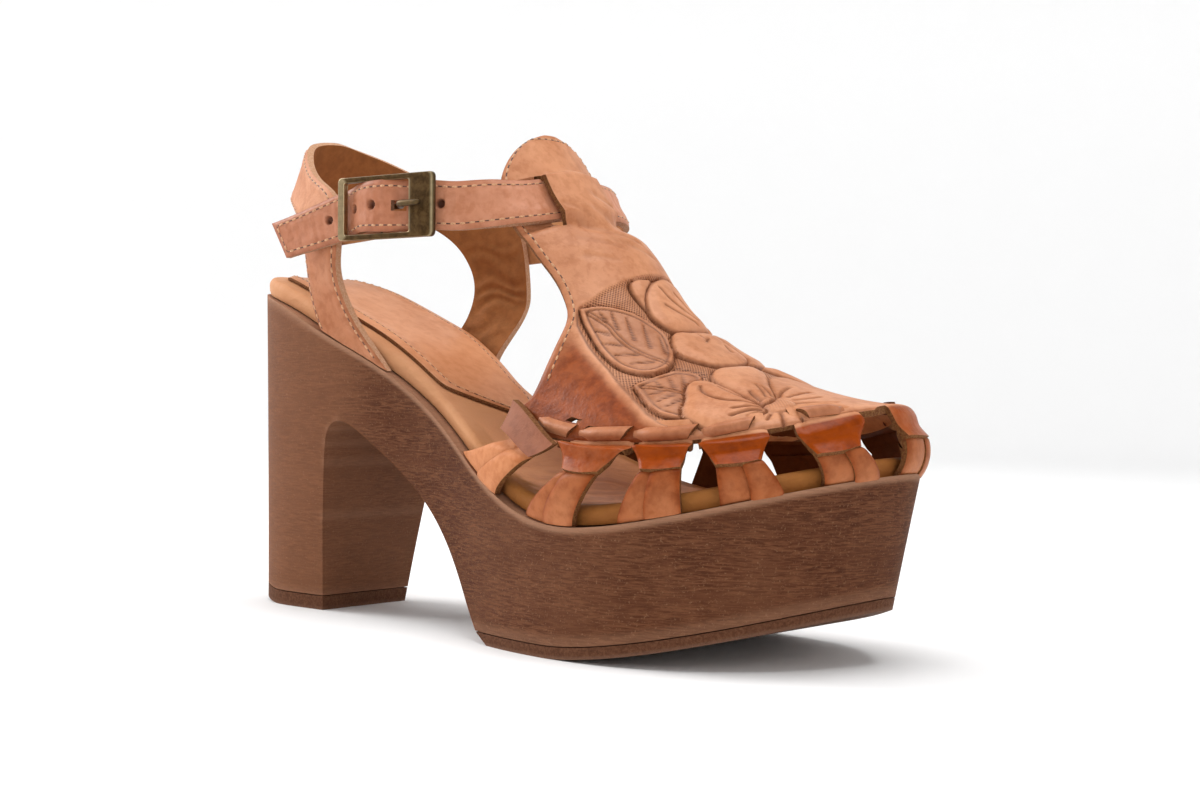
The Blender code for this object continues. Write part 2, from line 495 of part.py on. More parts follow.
wire = bpy.data.curves.new("prong_line", "CURVE")
wire.dimensions = "3D"
wire.bevel_depth = PRONG_WIRE * MM
wire.bevel_resolution = 1
wire.use_fill_caps = True
path = wire.splines.new("POLY")
prong_line = np.array(PRONG)
lift = np.interp(prong_line[:, 0], (80.0, 100.0), (122.3, 124.0))
dots = (np.column_stack([prong_line, lift]) - (ORIGIN_X, ORIGIN_Y, 0.0)) * MM
path.points.add(len(dots) - 1)
for point, at in zip(path.points, dots):
    point.co = (*at, 1.0)
holder = bpy.data.objects.new("prong_line", wire)
cutters.objects.link(holder)
holder.hide_render = True
bpy.context.view_layer.update()
rod = bpy.data.meshes.new_from_object(holder.evaluated_get(bpy.context.evaluated_depsgraph_get()))
prong_verts = np.array([v.co for v in rod.vertices]) / MM + (ORIGIN_X, ORIGIN_Y, 0.0)
add_body("buckle_prong", prong_verts, [tuple(f.vertices) for f in rod.polygons], "brass")

loop = np.array(TAB)
along = np.gradient(loop, axis=0)
along /= np.linalg.norm(along, axis=1, keepdims=True)
across_tab = np.column_stack([-along[:, 1], along[:, 0]])
faces_xy = [loop + across_tab * side_of * TAB_WALL / 2 for side_of in (1, -1)]
grids = [np.stack([np.column_stack([xy, np.full(len(xy), z) + 0.09 * (xy[:, 0] - 80.0)]) for z in TAB_Z], 1)
         for xy in faces_xy]
tab_keep = np.ones((len(TAB) - 1, len(TAB_Z) - 1), bool)
tab_keep[3:7, 1] = False
shell("buckle_tab", grids[0], grids[1], "leather", tab_keep)
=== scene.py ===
# %% [markdown]
# # A platform sandal, dressed around its solid parts
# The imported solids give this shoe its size, weight and collision. This lesson puts leather, stitching,
# wood grain and brass around them. Every surface is a formula on a grid of two numbers, worked out with
# numpy in millimetres along the shoe: x from heel to toe, y to the big-toe side, z up.

# %% Load the solid parts
from collections import namedtuple

import bmesh
import bpy
import numpy as np
from mathutils import Matrix


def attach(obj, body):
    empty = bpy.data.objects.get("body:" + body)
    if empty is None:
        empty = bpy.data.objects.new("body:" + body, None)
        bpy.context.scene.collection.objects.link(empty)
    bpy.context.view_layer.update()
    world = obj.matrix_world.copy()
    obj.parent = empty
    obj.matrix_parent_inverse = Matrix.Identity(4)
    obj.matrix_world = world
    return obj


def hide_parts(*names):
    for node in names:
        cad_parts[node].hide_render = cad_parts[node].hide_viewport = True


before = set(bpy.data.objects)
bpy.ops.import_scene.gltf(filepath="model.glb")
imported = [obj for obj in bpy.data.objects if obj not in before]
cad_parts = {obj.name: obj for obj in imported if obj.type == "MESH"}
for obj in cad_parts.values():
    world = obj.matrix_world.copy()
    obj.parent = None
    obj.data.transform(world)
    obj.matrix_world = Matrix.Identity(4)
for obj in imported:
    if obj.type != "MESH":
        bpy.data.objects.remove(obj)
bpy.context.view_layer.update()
MM = 0.001
ORIGIN = np.array([117.05, -3.85, 0.0])  # the part's origin in shoe millimetres

# %% [markdown]
# ## Camera
# The camera stands low in front of the shoe on its outer side, with a slight roll. Its three axes are
# worked out from two angles and the roll, and become the columns of its matrix.

# %% Camera
FOCAL_PX, IMAGE_WIDTH, SENSOR = 1993.907, 1200, 36.0
DISTANCE, AIM_X, AIM_RIGHT, AIM_Z = 600.171, 114.0, 15.327, 68.948
azimuth, elevation, roll = np.radians([36.938, 0.961, 1.494])
right = np.array([np.cos(azimuth), np.sin(azimuth), 0.0])
level_back = np.array([np.sin(azimuth), -np.cos(azimuth), 0.0])
back = level_back * np.cos(elevation) + np.array([0.0, 0.0, np.sin(elevation)])
axes = np.stack([right, np.cross(back, right), back])
tilt = np.array([[np.cos(roll), np.sin(roll), 0], [-np.sin(roll), np.cos(roll), 0], [0, 0, 1]])
pose = np.eye(4)
pose[:3, :3] = (tilt @ axes).T
pose[:3, 3] = (np.array([AIM_X, 0.0, AIM_Z]) + right * AIM_RIGHT + back * DISTANCE - ORIGIN) * MM
lens = bpy.data.cameras.new("photo_camera")
lens.sensor_width, lens.lens, lens.clip_start = SENSOR, FOCAL_PX / IMAGE_WIDTH * SENSOR, 0.01
camera = bpy.data.objects.new("photo_camera", lens)
camera.matrix_world = Matrix(pose.tolist())
bpy.context.scene.collection.objects.link(camera)
bpy.context.scene.camera = camera
print("camera at", np.round(pose[:3, 3], 3).tolist())

# %% [markdown]
# ## Shader arithmetic
# Finishes are easier to read as sums and products. `Wire` wraps one output of a node and turns `1 - mask`
# into a Math node. `Paint` owns a material and has one method that makes any node.


# %% Shader arithmetic
class Wire:
    """One output socket; arithmetic on it adds Math nodes."""

    def __init__(self, paint, socket):
        self.paint, self.socket = paint, socket

    def math(self, operation, other, swap=False):
        pair = (other, self) if swap else (self, other)
        return self.paint.node("ShaderNodeMath", {"operation": operation}, dict(enumerate(pair)))

    def __add__(self, other):
        return self.math("ADD", other)

    def __sub__(self, other):
        return self.math("SUBTRACT", other)

    def __rsub__(self, other):
        return self.math("SUBTRACT", other, True)

    def __mul__(self, other):
        return self.math("MULTIPLY", other)

    __radd__, __rmul__ = __add__, __mul__

    def wave(self, length):
        return (self * (2 * np.pi / length)).math("SINE", 0.0)

    def rise(self, low, high):
        """0 below low, 1 above high, a smooth ramp between; low may be the larger one."""
        ends = {"Value": self, "From Min": low, "From Max": high}
        return self.paint.node("ShaderNodeMapRange", {"interpolation_type": "SMOOTHSTEP"}, ends)


class Paint:
    """A material with one Principled shader; varying inputs are fed by wires."""

    def __init__(self, name, **constants):
        self.material = bpy.data.materials.new(name)
        self.material.use_nodes = True
        self.tree = self.material.node_tree
        self.shader = self.tree.nodes["Principled BSDF"]
        for label, value in constants.items():
            self.shader.inputs[label.replace("_", " ")].default_value = value
        self.place = self.node("ShaderNodeTexCoord", out="Object")

    def node(self, kind, settings=None, inputs=None, out=0):
        made = self.tree.nodes.new(kind)
        for key, value in (settings or {}).items():
            setattr(made, key, value)
        for key, value in (inputs or {}).items():
            self.feed(made.inputs[key], value)
        return Wire(self, made.outputs[out])

    def feed(self, socket, value):
        if isinstance(value, Wire):
            self.tree.links.new(value.socket, socket)
        else:
            socket.default_value = value

    def noise(self, scale, detail=3.0, roughness=0.55, place=None, distortion=0.0):
        ends = {"Vector": place or self.place, "Scale": scale, "Detail": detail, "Roughness": roughness,
                "Distortion": distortion}
        return self.node("ShaderNodeTexNoise", None, ends)

    def cells(self, scale, feature="F1", place=None):
        ends = {"Vector": place or self.place, "Scale": scale}
        return self.node("ShaderNodeTexVoronoi", {"feature": feature}, ends)

    def stretch(self, x, y, z):
        return self.node("ShaderNodeVectorMath", {"operation": "MULTIPLY"}, {0: self.place, 1: (x, y, z)})

    def mark(self, name):
        return self.node("ShaderNodeAttribute", {"attribute_name": name}, out="Fac")

    def mix(self, share, first, second):
        first, second = ((*c, 1.0) if isinstance(c, tuple) else c for c in (first, second))
        ends = {"Factor": share, 6: first, 7: second}
        return self.node("ShaderNodeMix", {"data_type": "RGBA"}, ends, out=2)

    def bump(self, height, depth, strength=1.0, below=None):
        ends = {"Height": height, "Distance": depth, "Strength": strength}
        if below:
            ends["Normal"] = below
        return self.node("ShaderNodeBump", None, ends, out="Normal")

    def finish(self, **wires):
        for label, wire in wires.items():
            self.feed(self.shader.inputs[label.replace("_", " ")], wire)
        return self.material


# %% [markdown]
# ## Leather
# Vegetable-tanned leather is warm tan, a little blotchy, with a fine pebbled grain and a soft sheen. Cut
# edges are raw and dark, and the flesh side is a duller suede. Each mesh marks its raw rims, its flesh
# side, its grooves, where shade is painted, and its burnished places, which carry painted shade as well,
# so that one finish can dress every strap.


# %% Leather
# the groove colour is painted shade in cuts, creases, pits and holes; the burnt tones paint burnish and
# painted shade alike
RAW_EDGE, GROOVE_SHADE = (0.125, 0.042, 0.015), (0.085, 0.024, 0.011)
BURNT_AND_SHADE, BURNT_AND_SHADE_DEEP, AMBER = (0.28, 0.056, 0.009), (0.17, 0.029, 0.004), (0.285, 0.045, 0.001)
TAN, TAN_DEEP, FLESH = (0.64, 0.290, 0.150), (0.46, 0.172, 0.072), (0.56, 0.255, 0.105)
# the flesh tone of knots and collars is darkened: painted shade on their inner sides, which face into the
# shoe
AMBER_DEEP, FLESH_IN_SHADE = (0.13, 0.018, 0.001), (0.13, 0.04, 0.011)
CLOUD, STREAK, FINE, GRAIN, FIBRE, PORES = 46.0, 230.0, 310.0, 1150.0, 1500.0, 2600.0  # noise per metre
DOT = 1.0  # spacing of the stippled ground in millimetres


def leather(name, face, deep, flesh, rough=0.46, coat=0.0, grain=1.0, sheen=0.14, cut=RAW_EDGE):
    """Tan face mottled towards a deeper tone, flesh side and raw rims by their marks; burnish with painted
    shade, and painted shade in grooves and pits.
    """
    p = Paint(name, Coat_Roughness=0.25, Specular_IOR_Level=sheen, Coat_Weight=coat)
    cloud = p.noise(CLOUD, 4.0, 0.62)
    fine = p.noise(FINE, 3.0, 0.6)
    pores = p.noise(PORES, 2.0, 0.5)
    pebble = p.cells(GRAIN, "SMOOTH_F1")
    blotch = cloud.rise(0.38, 0.66) * 0.6 + fine.rise(0.42, 0.66) * 0.4
    tone = p.mix(blotch, face, deep)
    # darker where the mesh marks burnish: partly burnish, partly painted shade
    tint_share = p.mark("burnish") * (0.7 + 0.5 * cloud)
    tone = p.mix(tint_share, tone, p.mix(fine.rise(0.3, 0.7), BURNT_AND_SHADE, BURNT_AND_SHADE_DEEP))
    streak = p.noise(STREAK, 4.0, 0.6)
    polished = p.mix(streak.rise(0.36, 0.74) * 0.6, AMBER, AMBER_DEEP)
    tone = p.mix(p.mark("glow") * (0.85 + 0.5 * fine), tone, polished)
    dots = p.mark("along").wave(DOT) * p.mark("across").wave(DOT)
    # the stipple dots are darkened: painted shade in the pits
    pits = dots.rise(-0.05, 0.4) * p.mark("stipple")
    # painted shade where the mesh marks cuts, creases and holes
    tone = p.mix(p.mark("groove") * 0.95, tone, GROOVE_SHADE)
    tone = p.mix(pits * 0.75, tone, GROOVE_SHADE)
    suede = p.mix(fine.rise(0.3, 0.7) * 0.6, flesh, tuple(c * 0.62 for c in flesh))
    tone = p.mix(p.mark("flesh"), tone, suede)
    fibre = p.noise(FIBRE, 4.0, 0.7)
    raw = p.mix(fibre.rise(0.35, 0.7), cut, tuple(min(c * 2.6, 0.12 + c) for c in cut))
    tone = p.mix(p.mark("raw"), tone, raw)
    dull = p.mark("raw") * 0.4 + p.mark("flesh") * 0.28
    gloss = rough + 0.14 * cloud + dull - p.mark("glow") * 0.17 - p.mark("burnish") * 0.06
    relief = pebble * 0.55 + pores * 0.5 + fibre * p.mark("raw") * 1.6
    normal = p.bump(relief - pits * 2.4, 0.00016 * grain, 0.55)
    normal = p.bump(fine, 0.0005 * grain, 0.3, normal)
    return p.finish(Base_Color=tone, Roughness=gloss, Normal=normal)


vamp_leather = leather("vamp_leather", TAN, TAN_DEEP, FLESH, 0.38, sheen=0.18)
strap_leather = leather("strap_leather", (0.61, 0.27, 0.158), (0.45, 0.168, 0.08), FLESH, 0.40, sheen=0.24,
                        cut=(0.30, 0.13, 0.06))
# the quarter's flesh colour is darkened: painted shade on the lining, as inside the far post
quarter_leather = leather("quarter_leather", (0.62, 0.285, 0.155), (0.45, 0.17, 0.075), (0.33, 0.125, 0.04),
                          cut=(0.46, 0.235, 0.12))
knot_leather = leather("knot_leather", (0.62, 0.255, 0.115), (0.45, 0.145, 0.05), FLESH_IN_SHADE, 0.42,
                       sheen=0.08)
collar_leather = leather("collar_leather", TAN, TAN_DEEP, FLESH_IN_SHADE, 0.42, 0.03, sheen=0.08)
corner_leather = leather("corner_leather", (0.30, 0.105, 0.052), (0.20, 0.062, 0.029), (0.16, 0.05, 0.014))
pad_leather = leather("pad_hide", (0.62, 0.285, 0.145), (0.50, 0.20, 0.085), FLESH, 0.36, 0.04, 0.5)
print("leathers", [m.name for m in (vamp_leather, strap_leather, knot_leather, pad_leather)])

# %% [markdown]
# ## Sole, insole, brass and thread
# The sole is moulded with a wood-grain skin: fine ripples that run level round the wall, dark brown with
# lighter lips: the top lip partly worn and partly a painted highlight, the band near the ground and the
# breast's edge simply lighter. The heel is painted lighter where the lamp behind it falls, as painted
# light. Streaks come from noise that is stretched along the shoe and squeezed in height.
# The brass is darkened with age and rubbed bright at its edges; its thin bar carries a painted highlight.


# %% Sole, insole, brass and thread
def wood_skin():
    """Level streaks from noise squeezed in z; lips lighter by their marks, the top lip partly worn and partly
    a painted highlight; the heel painted lighter as painted light.
    """
    p = Paint("wood_skin", Specular_IOR_Level=0.08)
    level = p.stretch(0.1, 0.1, 1.0)
    streak = p.noise(2100.0, 4.0, 0.7, level, 0.5)
    band = p.noise(190.0, 3.0, 0.6, p.stretch(0.2, 0.2, 1.0))
    speck = p.noise(1500.0, 3.0, 0.7)
    cloud = p.noise(26.0, 3.0, 0.55)
    tone = p.mix(streak.rise(0.36, 0.66), (0.062, 0.019, 0.0075), (0.166, 0.062, 0.028))
    tone = p.mix(band.rise(0.45, 0.65) * 0.5, tone, (0.085, 0.027, 0.011))
    tone = p.mix(cloud.rise(0.4, 0.7) * 0.3, tone, (0.19, 0.078, 0.037))
    tone = p.mix(speck.rise(0.58, 0.7) * 0.5, tone, (0.31, 0.155, 0.085))
    # the heel is painted lighter: painted light where the lamp behind the heel falls
    tone = p.mix(p.mark("heel") * 0.36, tone, (0.29, 0.125, 0.063))
    # lighter lips: the top lip partly worn and partly a painted highlight
    tint_share = p.mark("lip") * (0.45 + 0.75 * streak)
    tone = p.mix(tint_share, tone, (0.36, 0.185, 0.11))
    relief = streak * 0.7 + speck * 0.5
    return p.finish(Base_Color=tone, Roughness=0.56 + 0.2 * streak, Normal=p.bump(relief, 0.0004, 0.7))


def tread_rubber():
    """Matt brown rubber, finely speckled, paler along the ground."""
    p = Paint("tread_rubber", Specular_IOR_Level=0.1)
    speck = p.noise(1300.0, 3.0, 0.7)
    tone = p.mix(speck.rise(0.35, 0.7), (0.088, 0.033, 0.0155), (0.158, 0.066, 0.034))
    tone = p.mix(p.mark("lip") * 0.6, tone, (0.20, 0.108, 0.07))
    return p.finish(Base_Color=tone, Roughness=0.66 + 0.2 * speck, Normal=p.bump(speck, 0.0003, 0.7))


def board_leather():
    """Thin leather over the insole board: tan at the heel, mustard on the roll under the toes,
    browner and creased on top of the forefoot."""
    p = Paint("board_leather", Specular_IOR_Level=0.12)
    cloud = p.noise(60.0, 4.0, 0.6)
    fold = p.noise(70.0, 5.0, 0.6, p.stretch(1.0, 0.5, 1.0), 2.2)
    fine = p.noise(1500.0, 3.0, 0.6)
    toe = p.mark("toe")
    roll_tone = p.mix(toe, (0.59, 0.285, 0.14), (0.38, 0.145, 0.035))
    roll_deep = p.mix(toe, (0.48, 0.205, 0.09), (0.27, 0.09, 0.022))
    roll_tone = p.mix(cloud.rise(0.35, 0.7) * 0.5, roll_tone, roll_deep)
    top_tone = p.mix(toe, (0.55, 0.26, 0.12), (0.68, 0.31, 0.145))
    top_tone = p.mix(fold.rise(0.45, 0.62) * toe, top_tone, (0.56, 0.24, 0.115))
    tone = p.mix(p.mark("tread_side"), roll_tone, top_tone)
    relief = p.bump(fold, 0.0012, 0.55)
    return p.finish(Base_Color=tone, Roughness=0.5 + 0.2 * cloud, Normal=p.bump(fine, 0.00012, 0.5, relief))


def old_brass():
    """Darkened brass: blotches of patina, bright where the edges rub, and a painted highlight on the thin
    bar.
    """
    p = Paint("old_brass", Metallic=1.0)
    patina = p.noise(420.0, 5.0, 0.65)
    scratch = p.noise(900.0, 4.0, 0.6, p.stretch(0.2, 1.0, 1.0))
    tone = p.mix(patina.rise(0.32, 0.7), (0.042, 0.022, 0.007), (0.105, 0.059, 0.022))
    tone = p.mix(p.mark("wear_and_highlight") * (0.4 + 0.6 * scratch), tone, (0.46, 0.36, 0.21))
    gloss = 0.36 + 0.24 * patina - p.mark("wear_and_highlight") * 0.1
    return p.finish(Base_Color=tone, Roughness=gloss, Normal=p.bump(scratch, 0.00006, 0.5))


def waxed_thread(name, light, dark):
    """Waxed strand with light and dark flecks from fine noise."""
    p = Paint(name, Roughness=0.62, Sheen_Weight=0.2)
    twist = p.noise(2400.0, 2.0, 0.5)
    return p.finish(Base_Color=p.mix(twist.rise(0.3, 0.7), light, dark), Normal=p.bump(twist, 0.0001, 0.6))


wood, rubber, board, brass = wood_skin(), tread_rubber(), board_leather(), old_brass()
thread = waxed_thread("thread", (0.68, 0.38, 0.20), (0.47, 0.22, 0.10))
# needle holes: dark capsules that paint the shade in each hole
needle_hole_shade = waxed_thread("needle_hole_shade", (0.10, 0.036, 0.017), (0.06, 0.02, 0.01))
print("finishes", [m.name for m in (wood, rubber, board, brass, thread)])

# %% [markdown]
# ## From arrays to meshes
# One helper puts arrays of points and polygons into a mesh, stores the marks, closes the seams and hides
# the solid that the piece stands in for. Another makes leather of real thickness: a fine grid for the face, a
# coarse one for the back, and one long polygon for each stretch of rim.


# %% From arrays to meshes
WELD, SMOOTH_ANGLE, CRISP_ANGLE = 2e-6, 0.7, 0.6  # metres, radians, radians


def add_piece(name, points, polygons, material, node, marks=None, sides=None, weld=True,
              smooth=SMOOTH_ANGLE):
    """Mesh from points in shoe millimetres; marks are per point, sides per polygon."""
    mesh = bpy.data.meshes.new(name)
    faces = [row for group in polygons for row in group.tolist()]
    mesh.from_pydata(((points.reshape(-1, 3) - ORIGIN) * MM).tolist(), [], faces)
    for domain, table in (("POINT", marks), ("FACE", sides)):
        for label, values in (table or {}).items():
            layer = mesh.attributes.new(label, "FLOAT", domain)
            layer.data.foreach_set("value", np.ascontiguousarray(values, np.float32).ravel())
    body = bmesh.new()
    body.from_mesh(mesh)
    if weld:
        bmesh.ops.remove_doubles(body, verts=body.verts, dist=WELD)
        bmesh.ops.dissolve_degenerate(body, edges=body.edges, dist=WELD / 4)
        bmesh.ops.delete(body, geom=[v for v in body.verts if not v.link_faces], context="VERTS")
    bmesh.ops.recalc_face_normals(body, faces=body.faces)
    open_edges = sum(not e.is_manifold for e in body.edges)
    body.to_mesh(mesh)
    body.free()
    mesh.polygons.foreach_set("use_smooth", np.ones(len(mesh.polygons), bool))
    mesh.set_sharp_from_angle(angle=smooth)
    mesh.materials.append(material)
    piece = bpy.data.objects.new(name, mesh)
    bpy.context.scene.collection.objects.link(piece)
    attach(piece, "root")
    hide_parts(node)
    mesh.calc_loop_triangles()
    print(name, len(mesh.loop_triangles), "triangles,", open_edges, "open edges")
    return piece


def grid_quads(rows, cols, first=0):
    """Quads of a rows by cols point grid whose numbering starts at first."""
    n = np.arange(rows * cols).reshape(rows, cols) + first
    return np.stack([n[:-1, :-1], n[:-1, 1:], n[1:, 1:], n[1:, :-1]], -1).reshape(-1, 4)


def join_grids(grids):
    """Points and quads of several grids, one numbering after the other."""
    starts = np.cumsum([0] + [g.shape[0] * g.shape[1] for g in grids])
    quads = [grid_quads(*g.shape[:2], start) for g, start in zip(grids, starts)]
    return np.concatenate([g.reshape(-1, 3) for g in grids]), quads


def thick_sheet(face, rear, step, keep=None):
    """Closed sheet: fine face grid, rear grid of every step-th point, a rim polygon for every open cell side.
    Cells that keep leaves out become holes."""
    rows, cols = rear.shape[0] - 1, rear.shape[1] - 1
    keep = np.ones((rows, cols), bool) if keep is None else keep
    fine = np.arange(face.shape[0] * face.shape[1]).reshape(face.shape[:2])
    coarse = np.arange(rear.shape[0] * rear.shape[1]).reshape(rear.shape[:2]) + fine.size
    big = np.kron(keep, np.ones((step, step), bool))
    front = np.stack([fine[:-1, :-1][big], fine[:-1, 1:][big], fine[1:, 1:][big], fine[1:, :-1][big]], 1)
    behind = np.stack([coarse[:-1, :-1], coarse[1:, :-1], coarse[1:, 1:], coarse[:-1, 1:]], -1)[keep]
    k = np.arange(step + 1)
    pad = np.pad(keep, 1)
    rims = []
    for end, by_column, backward in ((0, 0, True), (1, 0, False), (0, 1, False), (1, 1, True)):
        if by_column:
            i, j = np.nonzero(keep & ~pad[1:-1, 2 * end:cols + 2 * end])
        else:
            i, j = np.nonzero(keep & ~pad[2 * end:rows + 2 * end, 1:-1])
        way = k[::-1] if backward else k
        if by_column:
            line = fine[i[:, None] * step + way, (j[:, None] + end) * step]
            ends = coarse[i, j + end], coarse[i + 1, j + end]
        else:
            line = fine[(i[:, None] + end) * step, j[:, None] * step + way]
            ends = coarse[i + end, j], coarse[i + end, j + 1]
        ends = ends if backward else ends[::-1]
        rims.append(np.column_stack([line, *ends]))
    rim = np.concatenate(rims)
    raw = np.concatenate([np.zeros(len(front)), np.zeros(len(behind)), np.ones(len(rim))])
    flesh = np.concatenate([np.zeros(len(front)), np.ones(len(behind)), np.zeros(len(rim))])
    points = np.concatenate([face.reshape(-1, 3), rear.reshape(-1, 3)])
    return points, [front, behind, rim], {"raw": raw, "flesh": flesh}


def normals(grid):
    """Unit normals of a point grid, columns crossed with rows."""
    du, dv = np.gradient(grid, axis=0), np.gradient(grid, axis=1)
    return unit(np.cross(dv, du))


def unit(v):
    return v / np.maximum(np.linalg.norm(v, axis=-1, keepdims=True), 1e-9)


def distances(line):
    """Distance along a line of points, from its first one."""
    return np.concatenate([[0], np.cumsum(np.linalg.norm(np.diff(line, axis=0), axis=1))])


def look_up(s, way, table):
    """Rows of a table, known at the distances in way, read off at other distances."""
    return np.stack([np.interp(s, way, column) for column in table.T], -1)


def nearest(values, target):
    return int(np.argmin(np.abs(values - target)))


def numbered(rows):
    """The same table with a first column that counts its rows."""
    return np.column_stack([np.arange(len(rows)), rows])


def on_face(points, **tables):
    """Marks known on the face grid, which comes first among the points; zero behind it."""
    return {label: np.pad(np.ravel(t), (0, len(points) - np.size(t))) for label, t in tables.items()}


def between(first, last, share):
    return first + (last - first) * share


def smooth_step(x):
    x = np.clip(x, 0, 1)
    return x * x * (3 - 2 * x)


# %% [markdown]
# ## The shapes that everything follows
# A few measured lines give the whole shoe: the sole's outline at its top and on the ground, the height of
# its top, and the crest and sections of the last, the wooden foot that the leather is pulled over. Cubic
# splines turn those short tables into smooth functions.


# %% The sole's lines
def spline(t, table, loop=False):
    """Cubic spline through table rows (first column the parameter); a loop closes on itself."""
    rows = np.asarray(table, float)
    k, v = rows[:, 0], rows[:, 1:]
    n, h = len(k), np.diff(k)
    a, b = np.eye(n), np.zeros_like(v)
    rise = np.diff(v, axis=0) / h[:, None]
    i = np.arange(1, n - 1)
    a[i, i - 1], a[i, i], a[i, i + 1] = h[:-1], 2 * (h[:-1] + h[1:]), h[1:]
    b[1:-1] = 6 * (rise[1:] - rise[:-1])
    if loop:
        a[0, 0], a[0, 1], a[0, -2] = 2 * (h[0] + h[-1]), h[0], h[-1]
        b[0] = 6 * (rise[0] - rise[-1])
        a[-1, 0] = -1
    m = np.linalg.solve(a, b)
    t = np.asarray(t, float)
    i = np.clip(np.searchsorted(k, t, side="right") - 1, 0, n - 2)
    left, right_part, w = (t - k[i])[..., None], (k[i + 1] - t)[..., None], h[i][..., None]
    out = (m[i] * right_part ** 3 + m[i + 1] * left ** 3) / (6 * w)
    out = out + (v[i] / w - m[i] * w / 6) * right_part + (v[i + 1] / w - m[i + 1] * w / 6) * left
    return out[..., 0] if out.shape[-1] == 1 else out


GAP, OUTSOLE, HEEL_TIP = 0.3, 3.2, 4.4
OUTLINE = np.array([  # x_top lat_top med_top x_low lat_low med_low
    (11.6, 18.9, 18.3, 7.6, 11.4, 9.6), (32.6, 29.5, 28.4, 20.5, 19.2, 16.6),
    (60.5, 31.4, 29.6, 44.0, 20.4, 17.6), (93.0, 30.7, 20.5, 84.0, 24.5, 17.0),
    (123.3, 42.0, 31.1, 121.5, 40.6, 29.4), (153.5, 50.5, 42.8, 152.6, 49.6, 41.6),
    (176.8, 51.3, 43.8, 175.2, 49.6, 41.8), (197.7, 45.2, 40.7, 194.2, 42.6, 37.6),
    (214.0, 33.9, 34.1, 208.8, 31.0, 30.4), (225.6, 17.5, 24.1, 219.3, 15.5, 20.8)])
HEEL_END, TOE_END, TIP_Y = (0.0, 3.4), (232.6, 226.1), 7.5
SOLE_TOP = [(0, 100.5), (25, 96.5), (50, 86.8), (75, 75.5), (100, 60.2), (125, 45.4), (150, 36.6),
            (175, 37.3), (200, 42.7), (232.6, 52.3)]
ROWS = len(OUTLINE) + 1
FLAT_FROM, FLAT_TO, HEEL_LIFT, TOE_SPRING = 20.0, 153.0, 3.0, 17.3


def ground(x):
    """Height of the tread: flat under ball and heel, rising to the toe and behind the heel."""
    toe = np.clip((x - FLAT_TO) / (TOE_END[0] - FLAT_TO), 0, 1)
    heel = np.clip((FLAT_FROM - x) / (FLAT_FROM - HEEL_END[1]), 0, 1)
    return TOE_SPRING * toe ** 1.6 + HEEL_LIFT * heel ** 1.5


def sole_top(x):
    return spline(np.clip(x, 0.0, TOE_END[0]), SOLE_TOP)


def closed_edge(low):
    """Closed plan line of the sole edge by row number: heel 0, toe 11, heel 22."""
    c = 3 if low else 0
    heel, toe = np.array([[HEEL_END[low], 0.0]]), np.array([[TOE_END[low], TIP_Y]])
    lateral, medial = OUTLINE[:, [c, c + 1]] * (1, -1), OUTLINE[::-1, [c, c + 2]]
    line = np.concatenate([heel, lateral, toe, medial, heel])
    table = numbered(line)
    return lambda t: spline(t, table, loop=True)


edge_top, edge_low = closed_edge(0), closed_edge(1)
dense = np.linspace(0, 2 * ROWS, 2201)
dense_xy = edge_top(dense)
dense_arc = distances(dense_xy)
dense_arc -= np.interp(ROWS, dense, dense_arc)


def edge_at(arc, inset):
    """Plan point on the sole's top edge, moved inwards; arc counted from the toe point."""
    t = np.interp(arc, dense_arc, dense)
    along = unit(edge_top(np.clip(t + 0.02, 0, 2 * ROWS)) - edge_top(np.clip(t - 0.02, 0, 2 * ROWS)))
    inward = np.stack([-along[..., 1], along[..., 0]], -1)
    return edge_top(t) + inward * np.asarray(inset, float)[..., None]


print("sole edge", round(float(np.ptp(dense_arc)), 1), "mm round")

# %% [markdown]
# ## Sole block
# Platform and heel are moulded in one piece, with an arch between them. A plain loft with a hole cut into
# it would leave ragged edges, so the columns of the side wall fan out: below they follow heel, breast,
# arch and platform, above they follow the lip. Each point then looks up its place on the ruled wall.


# %% Sole block
ARCH = np.array([  # x, z of the opening, and x of the lip above it
    (41.75, 4.7, 42.0), (44.2, 30.0, 44.0), (46.4, 47.0, 46.0), (47.4, 53.0, 47.6), (49.2, 57.6, 49.6),
    (53.0, 60.2, 53.4), (57.5, 59.6, 57.8), (64.0, 56.0, 64.2), (79.6, 45.5, 79.0), (92.0, 36.2, 91.0),
    (105.3, 23.9, 104.4), (113.6, 13.9, 112.8), (119.0, 6.8, 119.2), (121.8, 3.5, 122.0)])
HEEL_COLS, ARCH_COLS, FORE_COLS, TREAD_COLS, WALL_ROWS, HALVINGS = 44, 90, 110, 120, 56, 36


def wall_point(t, height):
    """Point on the ruled side wall: edge row t and height above the ground line."""
    top, low = edge_top(t), edge_low(t)
    z_low = ground(low[..., 0])
    share = (height / (sole_top(top[..., 0]) - z_low))[..., None]
    return np.concatenate([between(low, top, share), (z_low + height)[..., None]], -1)


def wall_row(x, z, side):
    """Edge row whose wall passes x at height z, by halving; side 0 is the outer wall, 1 the inner one."""
    x, z = np.broadcast_arrays(np.asarray(x, float), np.asarray(z, float))
    lo, hi = np.zeros(x.shape), np.full(x.shape, float(ROWS))
    for _ in range(HALVINGS):
        mid = (lo + hi) / 2
        t = 2 * ROWS - mid if side else mid
        short = wall_point(t, z - ground(edge_low(t)[..., 0]))[..., 0] < x
        lo, hi = np.where(short, mid, lo), np.where(short, hi, mid)
    return 2 * ROWS - mid if side else mid


def run(first, last, count):
    return between(first, last, np.linspace(0, 1, count))


